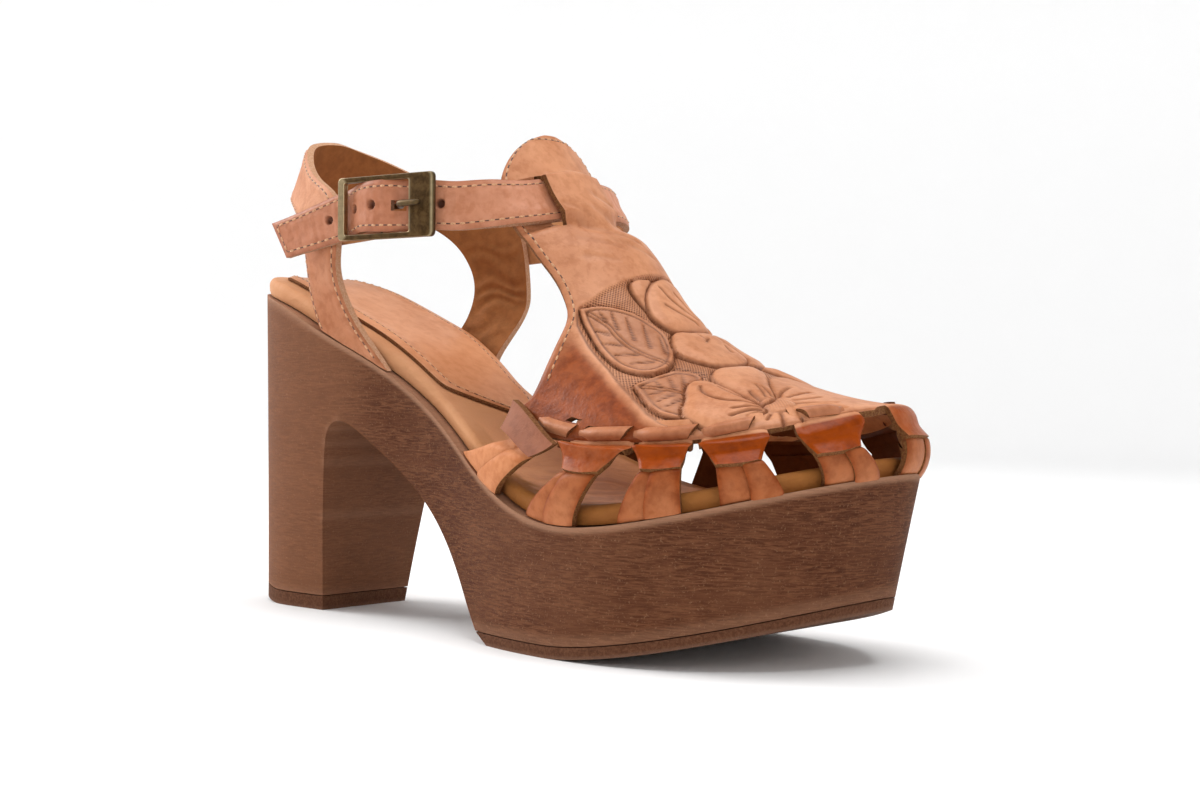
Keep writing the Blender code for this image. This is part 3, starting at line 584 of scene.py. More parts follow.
def block_wall(side):
    """Wall grid, columns from the heel's back to the toe point and rows from the bottom to the lip."""
    up_share = np.linspace(0, 1, WALL_ROWS)
    back_row, toe_row = (2.0 * ROWS if side else 0.0), float(ROWS)
    heel_low, fore_low = (wall_row(x, z, side) for x, z, _ in ARCH[[0, -1]])
    heel_top, fore_top = (wall_row(x, sole_top(x), side) for x in ARCH[[0, -1], 2])
    strips = []
    for low, top, lift, count in (((back_row, heel_low), (back_row, heel_top), HEEL_TIP + GAP, HEEL_COLS),
                                  ((fore_low, toe_row), (fore_top, toe_row), OUTSOLE + GAP, FORE_COLS)):
        low_t, top_t = run(*low, count), run(*top, count)
        t = between(low_t[:, None], top_t[:, None], up_share)
        full = sole_top(edge_top(t)[..., 0]) - ground(edge_low(t)[..., 0])
        strips.append(wall_point(t, between(lift, full, up_share)))
    way = distances(ARCH[:, :2])
    low_x, low_z, lip_x = spline(run(0, way[-1], ARCH_COLS)[1:-1], np.column_stack([way, ARCH])).T
    x = between(low_x[:, None], lip_x[:, None], up_share)
    z = between(low_z[:, None], sole_top(lip_x)[:, None], up_share)
    t = wall_row(x, z, side)
    strips.insert(1, wall_point(t, z - ground(edge_low(t)[..., 0])))
    return np.concatenate(strips)


def across(first, second, count):
    """Straight strips from one line of points to another."""
    return between(first[:, None], second[:, None], np.linspace(0, 1, count)[None, :, None])


def add_bevel(piece, width, segments=3):
    rounding = piece.modifiers.new("rounded_edges", "BEVEL")
    rounding.width, rounding.segments, rounding.limit_method = width * MM, segments, "ANGLE"
    rounding.angle_limit, rounding.harden_normals = 0.8, False


outer_wall, inner_wall = block_wall(0), block_wall(1)
block = [outer_wall, inner_wall, across(outer_wall[:, -1], inner_wall[:, -1], 12),
         across(outer_wall[:, 0], inner_wall[:, 0], 16)]
points, quads = join_grids(block)
below_lip = sole_top(points[:, 0]) - points[:, 2]
above_low = points[:, 2] - ground(points[:, 0])
breast = np.linalg.norm(points[:, None, [0, 2]] - ARCH[None, :6, :2], axis=2).min(1)
# top lip lighter: partly worn, partly a painted highlight; the band near the ground and the breast's edge
# lighter too
lip = np.maximum.reduce([smooth_step((2.4 - below_lip) / 1.8), 0.35 * smooth_step((7.5 - above_low) / 3.0),
                         0.3 * smooth_step((2.5 - breast) / 2.5)])
# the heel mark paints the heel lighter: painted light
marks = {"lip": lip, "heel": smooth_step((78.0 - points[:, 0]) / 30.0)}
add_bevel(add_piece("sole_block", points, quads, wood, "sole", marks, smooth=CRISP_ANGLE), 0.9)

# %% [markdown]
# ## Tread and heel tip
# Thin rubber closes the platform and the heel on the ground. They are shallow slices of the same wall, so
# they line up with the block, and the hair-wide gap above them shows as a dark line.


# %% Tread and heel tip
def slice_of_wall(low, top, thick, count, rows=7):
    """Part of the wall between the ground and a height; low and top give the first and last edge rows."""
    share = np.linspace(0, 1, rows)
    t = run(*low, count)[:, None] * (1 - share) + run(*top, count)[:, None] * share
    return wall_point(t, np.broadcast_to(thick * share, t.shape))


def tread_piece(name, node, thick, x_low, x_top, fore):
    """Closed slice: two walls, ground face, upper face and the straight end towards the arch."""
    walls = []
    for side in (0, 1):
        end = float(ROWS) if fore else (2.0 * ROWS if side else 0.0)
        cut_low, cut_top = wall_row(x_low, 0.0, side), wall_row(x_top, thick, side)
        rows = ((cut_low, end), (cut_top, end)) if fore else ((end, cut_low), (end, cut_top))
        walls.append(slice_of_wall(*rows, thick, TREAD_COLS if fore else HEEL_COLS))
    cut = 0 if fore else -1
    lines = ((wall[:, 0], wall[:, -1], wall[cut]) for wall in walls)
    points, quads = join_grids(walls + [across(a, b, 24) for a, b in zip(*lines)])
    height = points[:, 2] - ground(points[:, 0])
    marks = {"lip": smooth_step((1.2 - height) / 1.0)}
    add_bevel(add_piece(name, points, quads, rubber, node, marks, smooth=CRISP_ANGLE), 0.35, 2)


tread_piece("tread", "outsole", OUTSOLE, 128.0, 122.1, True)
tread_piece("heel_top_piece", "heel_tip", HEEL_TIP, 41.3, 41.65, False)

# %% [markdown]
# ## Insole board and heel pad
# The board is wrapped in thin leather with a rolled edge, so its profile is a quarter-round that runs
# along the outline. The pad on the heel is one stitched piece of leather whose cut edge shows as a dark
# step.

# %% Insole board and heel pad
INSOLE_INSET, INSOLE_THICK, PAD_THICK, BOARD_COLS = 3.3, 5.4, 1.2, 130
HEEL_REACH = 2.6  # how much further out the roll lies round the back of the heel
ROLL_DEEP, ROLL_HIGH, BOARD_LOW = 2.2, 2.6, GAP + 0.15
INSOLE_TOP = BOARD_LOW + INSOLE_THICK
roll_angle = np.linspace(0, np.pi / 2, 9)
roll_in = np.concatenate([[0.5, 0.1], ROLL_DEEP * (1 - np.cos(roll_angle)), [4.2, 6.5]])
roll_up = np.concatenate([[BOARD_LOW, 1.6], INSOLE_TOP + ROLL_HIGH * (np.sin(roll_angle) - 1),
                          [INSOLE_TOP] * 2])


def board_side(side):
    """Rolled edge: the roll's profile carried along the outline from heel to toe."""
    share = np.arange(BOARD_COLS + 1) / BOARD_COLS
    t = ROWS * (0.35 * (1 - np.cos(np.pi * share)) + 0.3 * share)
    t = 2 * ROWS - t if side else t
    arcs = np.interp(t, dense, dense_arc)
    shape = (len(t), len(roll_in))
    inset = INSOLE_INSET - HEEL_REACH * smooth_step((38.0 - edge_at(arcs, np.zeros(len(t)))[:, 0]) / 22.0)
    xy = edge_at(np.broadcast_to(arcs[:, None], shape), inset[:, None] + roll_in)
    return np.concatenate([xy, (sole_top(xy[..., 0]) + roll_up)[..., None]], -1)


roll_a, roll_b = board_side(0), board_side(1)
roll_b[[0, -1]] = roll_a[[0, -1]]
top_face = across(roll_a[:, -1], roll_b[:, -1], 26)
top_face[..., 2] = sole_top(top_face[..., 0]) + INSOLE_TOP
points, quads = join_grids([roll_a, roll_b, top_face, across(roll_a[:, 0], roll_b[:, 0], 10)])
toe_mark = smooth_step((points[:, 0] - 96.0) / 45.0)
tread_side = np.zeros(len(points))
tread_side[2 * roll_a[..., 0].size:][:top_face[..., 0].size] = 1.0
marks = {"toe": toe_mark, "tread_side": tread_side}
add_piece("insole_board", points, quads, board, "insole", marks)

PAD = np.array([  # x, half widths of the heel pad
    (8.5, 3.0, 3.0), (11.0, 9.5, 9.5), (18.0, 16.0, 16.0), (30.0, 20.0, 21.0), (48.0, 20.6, 22.6),
    (63.0, 20.6, 22.8), (80.0, 22.4, 17.2), (90.0, 23.4, 13.6), (93.0, 22.6, 13.2), (97.0, 16.6, 12.0),
    (101.0, 9.5, 9.0), (103.7, 4.5, 5.0), (104.6, 1.0, 1.5)])
PAD_STEP, PAD_MEAN, PAD_ACROSS = 4, 9, 40.0


def pad_grid(rows, cols):
    """Pad surface: rows along the foot, columns across, on the board; a running mean rounds the table."""
    table = look_up(np.linspace(0, len(PAD) - 1, rows), np.arange(len(PAD)), PAD)
    x, lat, med = (np.convolve(np.pad(c, PAD_MEAN // 2, "edge"), np.ones(PAD_MEAN) / PAD_MEAN, "valid")
                   for c in table.T)
    y = between(-lat[:, None], med[:, None], np.linspace(0, 1, cols))
    x = np.broadcast_to(x[:, None], y.shape)
    return np.stack([x, y, sole_top(x) + INSOLE_TOP + GAP + 0.2 + PAD_THICK], -1)


pad_face = pad_grid(36 * PAD_STEP + 1, 12 * PAD_STEP + 1)
pad_face[..., 2] -= 1.25 * smooth_step((20.0 - pad_face[..., 0]) / 9.0)
pad_back = pad_face[::PAD_STEP, ::PAD_STEP] - (0, 0, PAD_THICK)
pad_share = np.linspace(0, 1, pad_face.shape[1])
rim_way = np.minimum(pad_share, pad_share[::-1]) * PAD_ACROSS
pad_face[..., 2] -= 0.35 * np.exp(-(rim_way / 0.7) ** 2)
pad_face[..., 2] += 0.25 * np.exp(-((rim_way - 4.0) / 1.6) ** 2)
points, faces, sides = thick_sheet(pad_face, pad_back, PAD_STEP)
add_piece("heel_pad_leather", points, faces, pad_leather, "heel_pad", sides=sides, weld=False)

# %% [markdown]
# ## Vamp and tongue
# One hide covers the toes and runs up into the tongue. It is a patch of the last: a crest line over the
# foot with an elliptic section square to it. The patch is trimmed by a table that says, for each row, how
# far back and how far round its edge lies. Distances on the leather, along the crest and across it, are
# kept, because the tooling is drawn in them.

# %% Vamp and tongue
LAST = [  # crest x z y, half widths to the little-toe and big-toe side, depth of the section
    (111.8, 148.0, 0.0, 37.0, 37.0, 34.0), (118.0, 139.0, 0.0, 36.5, 36.5, 33.5),
    (125.0, 129.0, 0.0, 36.0, 36.0, 34.0), (137.0, 116.3, 0.5, 36.0, 35.0, 37.0),
    (150.0, 103.2, 2.0, 39.5, 33.5, 42.0), (157.5, 96.6, 3.0, 43.0, 32.5, 41.0),
    (165.5, 90.4, 4.0, 46.5, 31.8, 37.0), (173.5, 85.2, 4.6, 49.0, 31.8, 31.0),
    (180.0, 82.0, 5.0, 49.6, 31.6, 26.5), (195.0, 76.6, 5.4, 46.6, 29.6, 19.2),
    (210.0, 72.9, 6.0, 38.6, 24.6, 12.0), (219.0, 71.5, 6.8, 28.5, 18.0, 6.5),
    (227.0, 70.8, 7.5, 12.5, 9.0, 1.8)]
TRIM = [  # crest x, section x at the edge, angle of the edge round the section
    (111.8, 111.8, 6.0), (113.0, 113.0, 17.0), (115.0, 115.0, 28.0), (118.0, 118.0, 37.5),
    (121.0, 121.0, 41.8), (125.0, 125.0, 44.0), (129.0, 128.8, 44.3), (137.0, 136.2, 44.3),
    (144.0, 142.4, 43.3), (151.5, 149.3, 45.9), (158.5, 153.0, 53.9), (165.5, 156.6, 66.5),
    (172.5, 159.1, 80.5), (178.0, 158.7, 88.5), (184.5, 168.3, 90.0), (193.0, 181.3, 87.0),
    (203.5, 196.8, 83.5), (211.0, 206.9, 78.0), (217.5, 215.4, 78.0), (222.0, 221.2, 74.0),
    (225.4, 225.2, 66.0), (227.0, 227.0, 60.0)]
VAMP_WALL, SLIT_LIFT, BELLY, STEP, CUT_BEVEL = 2.2, 3.1, 3.2, 4, 1.1
SLIT_ROWS, OUTER_SLIT, INNER_SLIT = (3.75, 6.35), (0.5, 0.575), (0.33, 0.405)
LACE_HOLES = [(14.05, -0.885), (14.45, -0.89), (14.65, -0.89), (14.05, 0.885), (14.45, 0.89), (14.65, 0.89)]


def ladder(stops, cells, step):
    """Parameter values through each stop: so many coarse cells between stops, step fine ones in each."""
    parts = [np.linspace(a, b, n * step + 1)[:-1] for a, b, n in zip(stops, stops[1:], cells)]
    return np.concatenate(parts + [[stops[-1]]])


def vamp_angles(stations, ways):
    """Crest position u and angle round the section; rows sweep back towards their edges."""
    row = spline(stations, numbered(TRIM))
    u = between(row[:, 0:1], row[:, 1:2], np.abs(ways[None, :]) ** 1.5)
    return u, np.radians(row[:, 2:3]) * ways[None, :]


def last_point(u, angle):
    """Elliptic section square to the crest: half width times sine across, depth times (1 - cosine) down."""
    k = spline(u, LAST)
    slope = (spline(u + 0.05, LAST)[..., 0] - spline(u - 0.05, LAST)[..., 0]) / 0.1
    length = np.sqrt(1 + slope ** 2)
    sag = k[..., 4] * (1 - np.cos(angle))
    half = np.where(angle < 0, k[..., 2], k[..., 3])
    across_crest = k[..., 1] + half * np.sin(angle)
    return np.stack([u + slope / length * sag, across_crest, k[..., 0] - sag / length], -1)


def hide_distance(u, angle):
    """Distances on the leather: along the crest to u, and from the crest round the section to the angle."""
    line = np.linspace(LAST[0][0], LAST[-1][0], 1500)
    along = np.concatenate([[0], np.cumsum(np.hypot(np.diff(line), np.diff(spline(line, LAST)[:, 0])))])
    k = spline(u, LAST)
    half, total, parts = np.where(angle < 0, k[..., 2], k[..., 3]), np.zeros_like(angle), 24
    for share in (np.arange(parts) + 0.5) / parts:
        total += np.hypot(half * np.cos(share * angle), k[..., 4] * np.sin(share * angle)) * angle / parts
    return np.interp(u, line, along), total


def bridge_lift(stations, ways):
    """The tongue rises over the ankle strap between its slits, sinks beside them and bellies out below."""
    v, slit = np.abs(ways), np.where(ways < 0, sum(OUTER_SLIT) / 2, sum(INNER_SLIT) / 2)
    soft = 0.5 * smooth_step((slit - v) / slit)[None, :]
    inner = np.minimum(stations[:, None] - SLIT_ROWS[0] + soft, SLIT_ROWS[1] + soft - stations[:, None])
    over = np.where(v < slit, 1.0, -0.95 * np.clip((1.15 - v) / 0.45, 0, 1))
    belly = smooth_step((stations - 6.3) / 0.9) * smooth_step((10.4 - stations) / 2.8)
    bridge = SLIT_LIFT * smooth_step(inner / (0.3 + soft)) * over[None, :]
    return bridge + BELLY * belly[:, None] * smooth_step((ways + 0.9) / 1.2)[None, :]


stations = ladder((0.0, *SLIT_ROWS, 8.0, 21.0), (6, 7, 4, 60), STEP)
outer_ways, inner_ways = (ladder((0.0, *slit, 1.0), cells, STEP)
                          for slit, cells in ((OUTER_SLIT, (17, 3, 15)), (INNER_SLIT, (12, 3, 20))))
ways = np.concatenate([-outer_ways[:0:-1], inner_ways])
crest_u, crest_angle = vamp_angles(stations, ways)
vamp = last_point(crest_u, crest_angle)
p_way, q_way = hide_distance(crest_u, crest_angle)
vamp = vamp - normals(vamp) * bridge_lift(stations, ways)[..., None]
vamp_out = -normals(vamp)
print("hide", np.round([p_way.max(), q_way.min(), q_way.max()], 1).tolist(), "mm")

# %% [markdown]
# ## Floral tooling
# The maker cuts the outlines of flowers and leaves with a swivel knife, bevels the leather outside each
# line, presses veins and stipples the ground. Each shape is a closed spline through a few stops on the
# leather. The depth at a point follows from its distance to the curves, and the same number paints shade
# into the cut. The drawing is made for the outer side and repeated, mirrored, on the inner one, apart from
# the strokes in the rear flower.

# %% Floral tooling
FLOWER = np.array([125.5, -26.3])
TOP_LINE = [(58.6, -28.8), (58.4, -24.5), (57.4, -19.9), (56.8, -13.7), (56.3, 0.0), (56.8, 13.7),
            (57.4, 19.9), (58.6, 28.8)]
SIDE_LINE = [(58.8, -29.0), (63.7, -33.1), (71.7, -36.4), (81.6, -39.5), (91.2, -44.1), (100.4, -48.5),
             (105.1, -49.5), (109.9, -49.0), (113.7, -47.8), (118.0, -62.0)]
PETALS = [  # stops along and across, the petals that lie on top first
    [(123.0, -29.6), (114.6, -27.2), (108.8, -26.2), (103.9, -26.2), (101.4, -27.7), (100.4, -30.6),
     (101.9, -34.7), (104.8, -38.6), (106.3, -41.7), (108.0, -44.4), (111.0, -45.7), (114.9, -46.2),
     (119.5, -45.0), (123.5, -39.0), (125.0, -32.5)],
    [(122.6, -27.9), (116.2, -27.2), (110.1, -26.4), (104.4, -24.9), (100.6, -21.6), (98.8, -16.5),
     (99.4, -10.4), (100.2, -3.7), (104.0, -2.6), (108.2, -5.4), (113.9, -12.8), (120.0, -19.4),
     (122.6, -24.0)],
    [(80.2, -1.0), (80.0, -6.6), (79.3, -12.0), (82.3, -16.5), (86.3, -19.3), (90.1, -19.7), (93.9, -18.0),
     (97.0, -14.6), (98.3, -9.3), (98.4, -2.8), (95.5, 3.0), (90.0, 5.6), (84.5, 5.4), (81.2, 3.4)],
    [(79.6, 4.6), (79.9, -0.2), (79.8, -6.6), (78.4, -11.1), (75.7, -12.7), (72.2, -13.1), (68.1, -11.3),
     (63.7, -8.2), (59.9, -2.7), (57.8, 4.2), (58.8, 10.4), (65.4, 12.0), (72.0, 11.0), (77.5, 8.0)]]
LEAVES = [  # outline, vein, hatched bars
    ([(59.2, -28.9), (59.4, -28.4), (60.9, -24.6), (63.7, -20.9), (66.7, -18.3), (70.1, -16.3), (73.9, -15.3),
      (77.2, -14.9), (80.6, -15.6), (84.7, -18.2), (89.1, -22.9), (91.2, -27.5), (91.3, -30.6), (90.4, -33.6),
      (88.4, -35.7), (85.4, -36.9), (82.0, -37.2), (77.9, -36.5), (72.9, -35.0), (67.8, -32.9),
      (63.4, -31.1)],
     [(62.5, -27.9), (68.5, -27.1), (72.7, -28.0), (77.7, -28.8), (82.2, -28.5), (86.0, -27.6), (89.1, -26.6),
      (92.6, -26.3), (96.3, -24.4), (99.4, -22.9)],
     [(63.4, -25.4, 66.9, -26.1), (65.2, -22.7, 71.4, -26.0), (69.2, -20.8, 76.9, -25.4),
      (73.6, -18.6, 81.8, -24.4), (79.8, -18.6, 86.0, -22.7), (68.2, -31.0, 71.4, -29.4),
      (73.4, -33.2, 76.6, -30.2), (78.6, -34.2, 82.2, -30.0), (84.0, -34.0, 87.0, -29.4)]),
    ([(90.3, -40.4), (91.4, -35.5), (92.5, -30.8), (93.8, -27.9), (96.9, -25.6), (100.1, -25.2),
      (104.0, -30.0), (108.0, -40.0), (108.4, -45.6), (106.0, -46.8), (103.4, -47.2), (99.3, -46.3),
      (95.4, -44.3), (91.5, -41.8)],
     [(92.5, -40.2), (96.5, -38.4), (101.0, -36.6), (105.0, -35.6)],
     [(93.6, -36.2, 96.4, -37.6), (94.8, -32.6, 99.6, -36.0), (96.6, -29.0, 101.6, -34.0),
      (96.0, -42.2, 97.8, -39.4), (99.6, -43.8, 101.2, -38.6), (103.0, -44.4, 104.2, -38.0)])]
RAYS = [  # knife strokes in the petals: lines of stops
    [(122.4, -28.9), (117.5, -31.6), (113.7, -33.9), (109.3, -34.5), (106.2, -33.4), (104.7, -31.9)],
    [(121.8, -28.3), (114.6, -28.6), (110.6, -28.4), (108.0, -27.8)],
    [(123.3, -30.2), (120.6, -33.0), (118.1, -36.1)], [(123.9, -31.4), (121.6, -35.0), (119.6, -39.1)],
    [(124.4, -32.4), (123.4, -36.5)], [(120.4, -26.6), (117.0, -25.2), (115.0, -24.0)],
    [(120.0, -24.0), (116.2, -20.6), (113.2, -18.6)], [(120.6, -21.8), (117.8, -19.6), (115.1, -17.9)],
    [(121.6, -19.8), (119.4, -14.8), (117.5, -8.4)], [(123.4, -18.4), (123.3, -13.0), (123.2, -7.0)],
    [(126.0, -19.6), (127.4, -15.0), (128.0, -9.6)], [(128.2, -21.6), (131.4, -17.0), (134.2, -12.0)],
    [(129.6, -23.2), (133.0, -20.0), (137.0, -15.4)], [(130.6, -25.4), (134.4, -24.8), (138.4, -23.4)],
    [(130.2, -28.2), (133.6, -29.4), (136.6, -31.6)], [(128.8, -30.4), (131.0, -33.0), (132.8, -36.0)],
    [(126.8, -31.8), (127.8, -35.0)]]
BACK_RAYS = [  # the same in the rear flower, not mirrored
    [(58.9, 7.0), (65.7, 8.6), (71.0, 7.4), (76.4, 4.8)],
    [(61.8, -1.2), (66.0, -1.0), (70.6, 1.0), (75.2, 3.4)], [(68.6, -5.0), (72.4, -2.4), (77.2, 1.2)],
    [(64.2, 3.4), (69.4, 4.6), (74.6, 4.6)], [(82.6, -4.6), (84.4, -4.6)], [(86.2, -5.8), (84.6, -3.0)],
    [(88.6, 0.6), (92.4, -1.6)], [(86.8, 2.2), (91.6, 2.8)]]
KNIFE, BEVEL, PETAL_CROWN, LEAF_CROWN, TOOL_DEPTH = 0.36, 1.5, 0.5, 0.1, 1.5
FAR_AWAY, OVERLAP = 99.0, 4

# %% [markdown]
# ## Carving
# The drawing becomes depth. Every line sinks the leather by a bell-shaped groove with painted shade in it,
# and every closed shape hides what is drawn under it later. Outside the tooled field the leather stays
# smooth.


# %% Carving
def closed_curve(stops, count=120):
    """Closed spline through the stops; a few are repeated beyond both ends, so that no seam shows."""
    stops, n = np.array(stops, float), len(stops)
    number = np.arange(-OVERLAP, n + OVERLAP)
    around = np.take(stops, number, axis=0, mode="wrap")
    return spline(np.linspace(0, n, count + 1), np.column_stack([number, around]))


def open_curve(stops, count=16):
    return spline(np.linspace(0, len(stops) - 1, count), numbered(stops))


def near_line(p, q, line, reach):
    """Distance from every point to a drawn line, worked out only inside its neighbourhood."""
    line = np.asarray(line, float)
    found = np.full(p.shape, FAR_AWAY)
    lo, hi = line.min(0) - reach, line.max(0) + reach
    box = (p > lo[0]) & (p < hi[0]) & (q > lo[1]) & (q < hi[1])
    spot = np.column_stack([p[box], q[box]])
    best = np.full(len(spot), FAR_AWAY)
    for a, b in zip(line, line[1:]):
        ab = b - a
        share = np.clip((spot - a) @ ab / max(ab @ ab, 1e-9), 0, 1)
        best = np.minimum(best, np.hypot(*(spot - a - share[:, None] * ab).T))
    found[box] = best
    return found


def inside(p, q, ring):
    """True where a point lies in a closed ring: an odd number of its sides lie to the right."""
    odd = np.zeros(p.shape, bool)
    for (ax, ay), (bx, by) in zip(ring, np.roll(ring, -1, axis=0)):
        crosses = (ay > q) != (by > q)
        x = ax + (q - ay) / (by - ay + 1e-12) * (bx - ax)
        odd ^= crosses & (p < x)
    return odd


def dash(p, q, start, end, width):
    """Tapered stroke between two points: 1 on the line, 0 beside it."""
    start, end = np.asarray(start, float), np.asarray(end, float)
    ab = end - start
    share = np.clip(((p - start[0]) * ab[0] + (q - start[1]) * ab[1]) / (ab @ ab), 0, 1)
    far = np.hypot(p - start[0] - share * ab[0], q - start[1] - share * ab[1])
    return np.exp(-(far / (width * (1.15 - 0.75 * share))) ** 2)


relief, groove, covered = np.zeros(p_way.shape), np.zeros(p_way.shape), np.zeros(p_way.shape, bool)


def press(mark, depth, dark):
    """Sink the leather by a mark between 0 and 1, and paint shade into it there."""
    relief[...] -= depth * mark
    groove[...] = np.maximum(groove, dark * mark)


def carve(ring, crown):
    """Cut a closed outline: knife line, bevel outside, crown inside; earlier shapes stay on top. Gives the
    inside and the distance to the line."""
    far = near_line(p_way, q_way, ring, 5.0)
    free = ~covered
    within = inside(p_way, q_way, ring[:-1]) & free
    # knife line and bevel are darkened as well as sunk: painted shade
    press(np.exp(-(far / KNIFE) ** 2) * free, 0.65, 0.68)
    press(np.exp(-far / BEVEL) * (free & ~within), 0.5, 0.26)
    relief[...] += within * crown * smooth_step(far / 4.0)
    covered[...] |= within
    return within, far


for stops in PETALS:
    for flip in (1, -1):
        carve(closed_curve(stops) * (1, flip), PETAL_CROWN)
leaf_tone = np.zeros(p_way.shape)
for stops, vein, bars in LEAVES:
    for flip in (1, -1):
        within, far = carve(closed_curve(stops) * (1, flip), LEAF_CROWN)
        press(np.exp(-((far - 1.7) / 0.32) ** 2) * within, 0.3, 0.8)
        stem = near_line(p_way, q_way, open_curve(vein, 30) * (1, flip), 4.0)
        press(np.exp(-((stem - 0.6) / 0.3) ** 2) * (within | ~covered), 0.3, 0.8)
        hatch = 0.7 + 0.3 * np.sin(2 * np.pi * (q_way * flip * 0.8 - 0.6 * p_way) / 1.1)
        for p_a, q_a, p_b, q_b in bars:
            bar = dash(p_way, q_way, (p_b, q_b * flip), (p_a, q_a * flip), 0.85)
            press(bar * hatch * within, 0.35, 0.95)
        press(within * smooth_step((far - 1.7) / 0.5), 0.14, 0.2)
        leaf_tone = np.maximum(leaf_tone, 0.15 * within)
for table, flips in ((RAYS, (1, -1)), (BACK_RAYS, (1,))):
    for line in [open_curve(stops) * (1, flip) for stops in table for flip in flips]:
        press(np.exp(-(near_line(p_way, q_way, line, 2.5) / 0.42) ** 2), 0.6, 0.72)

top_edge = spline(q_way.clip(-28, 28), np.array(TOP_LINE)[:, ::-1])
side_edge = np.interp(p_way, *np.array(SIDE_LINE).T)
border = -np.abs(q_way) - side_edge
tooled = smooth_step((p_way - top_edge) / 1.6) * smooth_step(border / 0.8)
ground_mask = tooled * ~covered * smooth_step((110.0 - p_way) / 3.0)
stipple = ground_mask
for flip in (1, -1):
    core = np.hypot(p_way - FLOWER[0], q_way - FLOWER[1] * flip)
    relief += 0.5 * np.exp(-(core / 4.2) ** 6)
    press(np.exp(-((core - 4.8) / 0.4) ** 2), 0.2, 0.3)
    stipple = np.maximum(stipple, 0.35 * np.exp(-(core / 3.6) ** 6))
relief -= 0.3 * ground_mask
groove = np.maximum(groove, 0.16 * ground_mask)
rim_line = np.exp(-(border / 0.4) ** 2) * smooth_step((p_way - 59.0) / 2.0) * (p_way < 114.0)
relief = TOOL_DEPTH * relief * tooled - 0.4 * rim_line
groove = np.maximum(groove * tooled, 0.75 * rim_line)
print("tooled points", int((tooled > 0.5).sum()), "stippled", int((stipple > 0.5).sum()))

# %% [markdown]
# ## Creases, burnish, painted shade and holes
# The tongue creases where it bends, with painted shade in the creases. The rear corners, the tongue's flanks
# and all edges are darker: partly burnish, partly painted shade. Slits let the ankle
# strap through and small holes take the laces, so some cells of the sheet are left out.

# %% Creases, burnish, painted shade and holes
CREASES = [  # start and end on the leather, width, depth
    ((34.0, -9.0), (44.0, 6.0), 1.5, 0.34), ((30.0, -2.0), (40.0, 12.0), 1.3, 0.3),
    ((38.0, -14.0), (47.0, -2.0), 1.2, 0.25), ((27.0, -12.0), (33.0, -4.0), 1.0, 0.22),
    ((42.0, -4.0), (50.0, 9.0), 1.6, 0.3), ((24.0, 2.0), (31.0, 14.0), 1.3, 0.28),
    ((45.0, -16.0), (50.0, -8.0), 1.1, 0.2), ((36.0, 10.0), (46.0, 19.0), 1.4, 0.26)]
CREASE_DEPTH = 1.7
crease = sum(CREASE_DEPTH * depth * dash(p_way, q_way, start, end, width)
             for start, end, width, depth in CREASES)
edge_way = np.abs(q_way - np.where(ways < 0, q_way[:, :1], q_way[:, -1:]))
roll_off = 0.55 * np.exp(-(np.minimum(edge_way, 9.0) / 0.8) ** 2)
vamp_face = vamp + vamp_out * (relief - crease - roll_off)[..., None]
low_rim = smooth_step((stations - 12.0) / 2.0)[:, None]
# darker beside the tooled field, along the rims and on the tongue's flanks: partly burnish, partly painted
# shade
corner_tone = smooth_step((-border - 0.3) / 4.0)
corner_tone = corner_tone * smooth_step((p_way - 60.0) / 12.0) * smooth_step((124.0 - p_way) / 20.0)
tongue_rim = 0.5 * np.exp(-edge_way / 1.6) * smooth_step((12.5 - stations) / 1.0)[:, None]
toe_rim = 0.35 * smooth_step((6.0 - edge_way) / 6.0) * low_rim
tongue_side = 0.06 + 0.16 * smooth_step((15.0 - edge_way) / 15.0)
tongue_side = tongue_side * smooth_step((p_way - 10.0) / 12.0) * smooth_step((70.0 - p_way) / 16.0)
burnish = np.maximum.reduce([corner_tone, tongue_rim, toe_rim, tongue_side, leaf_tone])
keep = np.ones((len(stations) // STEP, len(ways) // STEP), bool)
row_mid, way_mid = stations[STEP // 2::STEP], ways[STEP // 2::STEP]
for hole_row, hole_col in LACE_HOLES:
    keep[nearest(row_mid, hole_row), nearest(way_mid, hole_col)] = False
slit_rows = (row_mid > SLIT_ROWS[0]) & (row_mid < SLIT_ROWS[1])
for low, high in ((-OUTER_SLIT[1], -OUTER_SLIT[0]), INNER_SLIT):
    keep[np.ix_(slit_rows, (way_mid > low) & (way_mid < high))] = False
vamp_rear = vamp - vamp_out * VAMP_WALL
for column, beside in ((0, 4), (-1, -5)):
    vamp_rear[:, column] += CUT_BEVEL * low_rim * unit(vamp[:, column] - vamp[:, beside])
vamp_rear[-1] += CUT_BEVEL * unit(vamp[-1] - vamp[-5])
vamp_rear = vamp_rear[::STEP, ::STEP]
points, faces, sides = thick_sheet(vamp_face, vamp_rear, STEP, keep)
# the creases add painted shade to the groove mark
marks = on_face(points, groove=np.clip(groove + 0.3 * crease, 0, 1), burnish=burnish, stipple=stipple,
                along=p_way, across=q_way)
add_piece("vamp_and_tongue", points, faces, vamp_leather, "upper", marks, sides)

# %% [markdown]
# ## Quarter and back strap
# Two posts rise from the sole beside the heel and meet in a strap round the back. It is two layers of
# leather sewn together, so its rims are raw. The wall follows a plan line round the heel and two edges in
# height. Where the far post bends, its lining creases across, with painted shade in the troughs. The
# lining's flesh colour is darkened as painted shade.

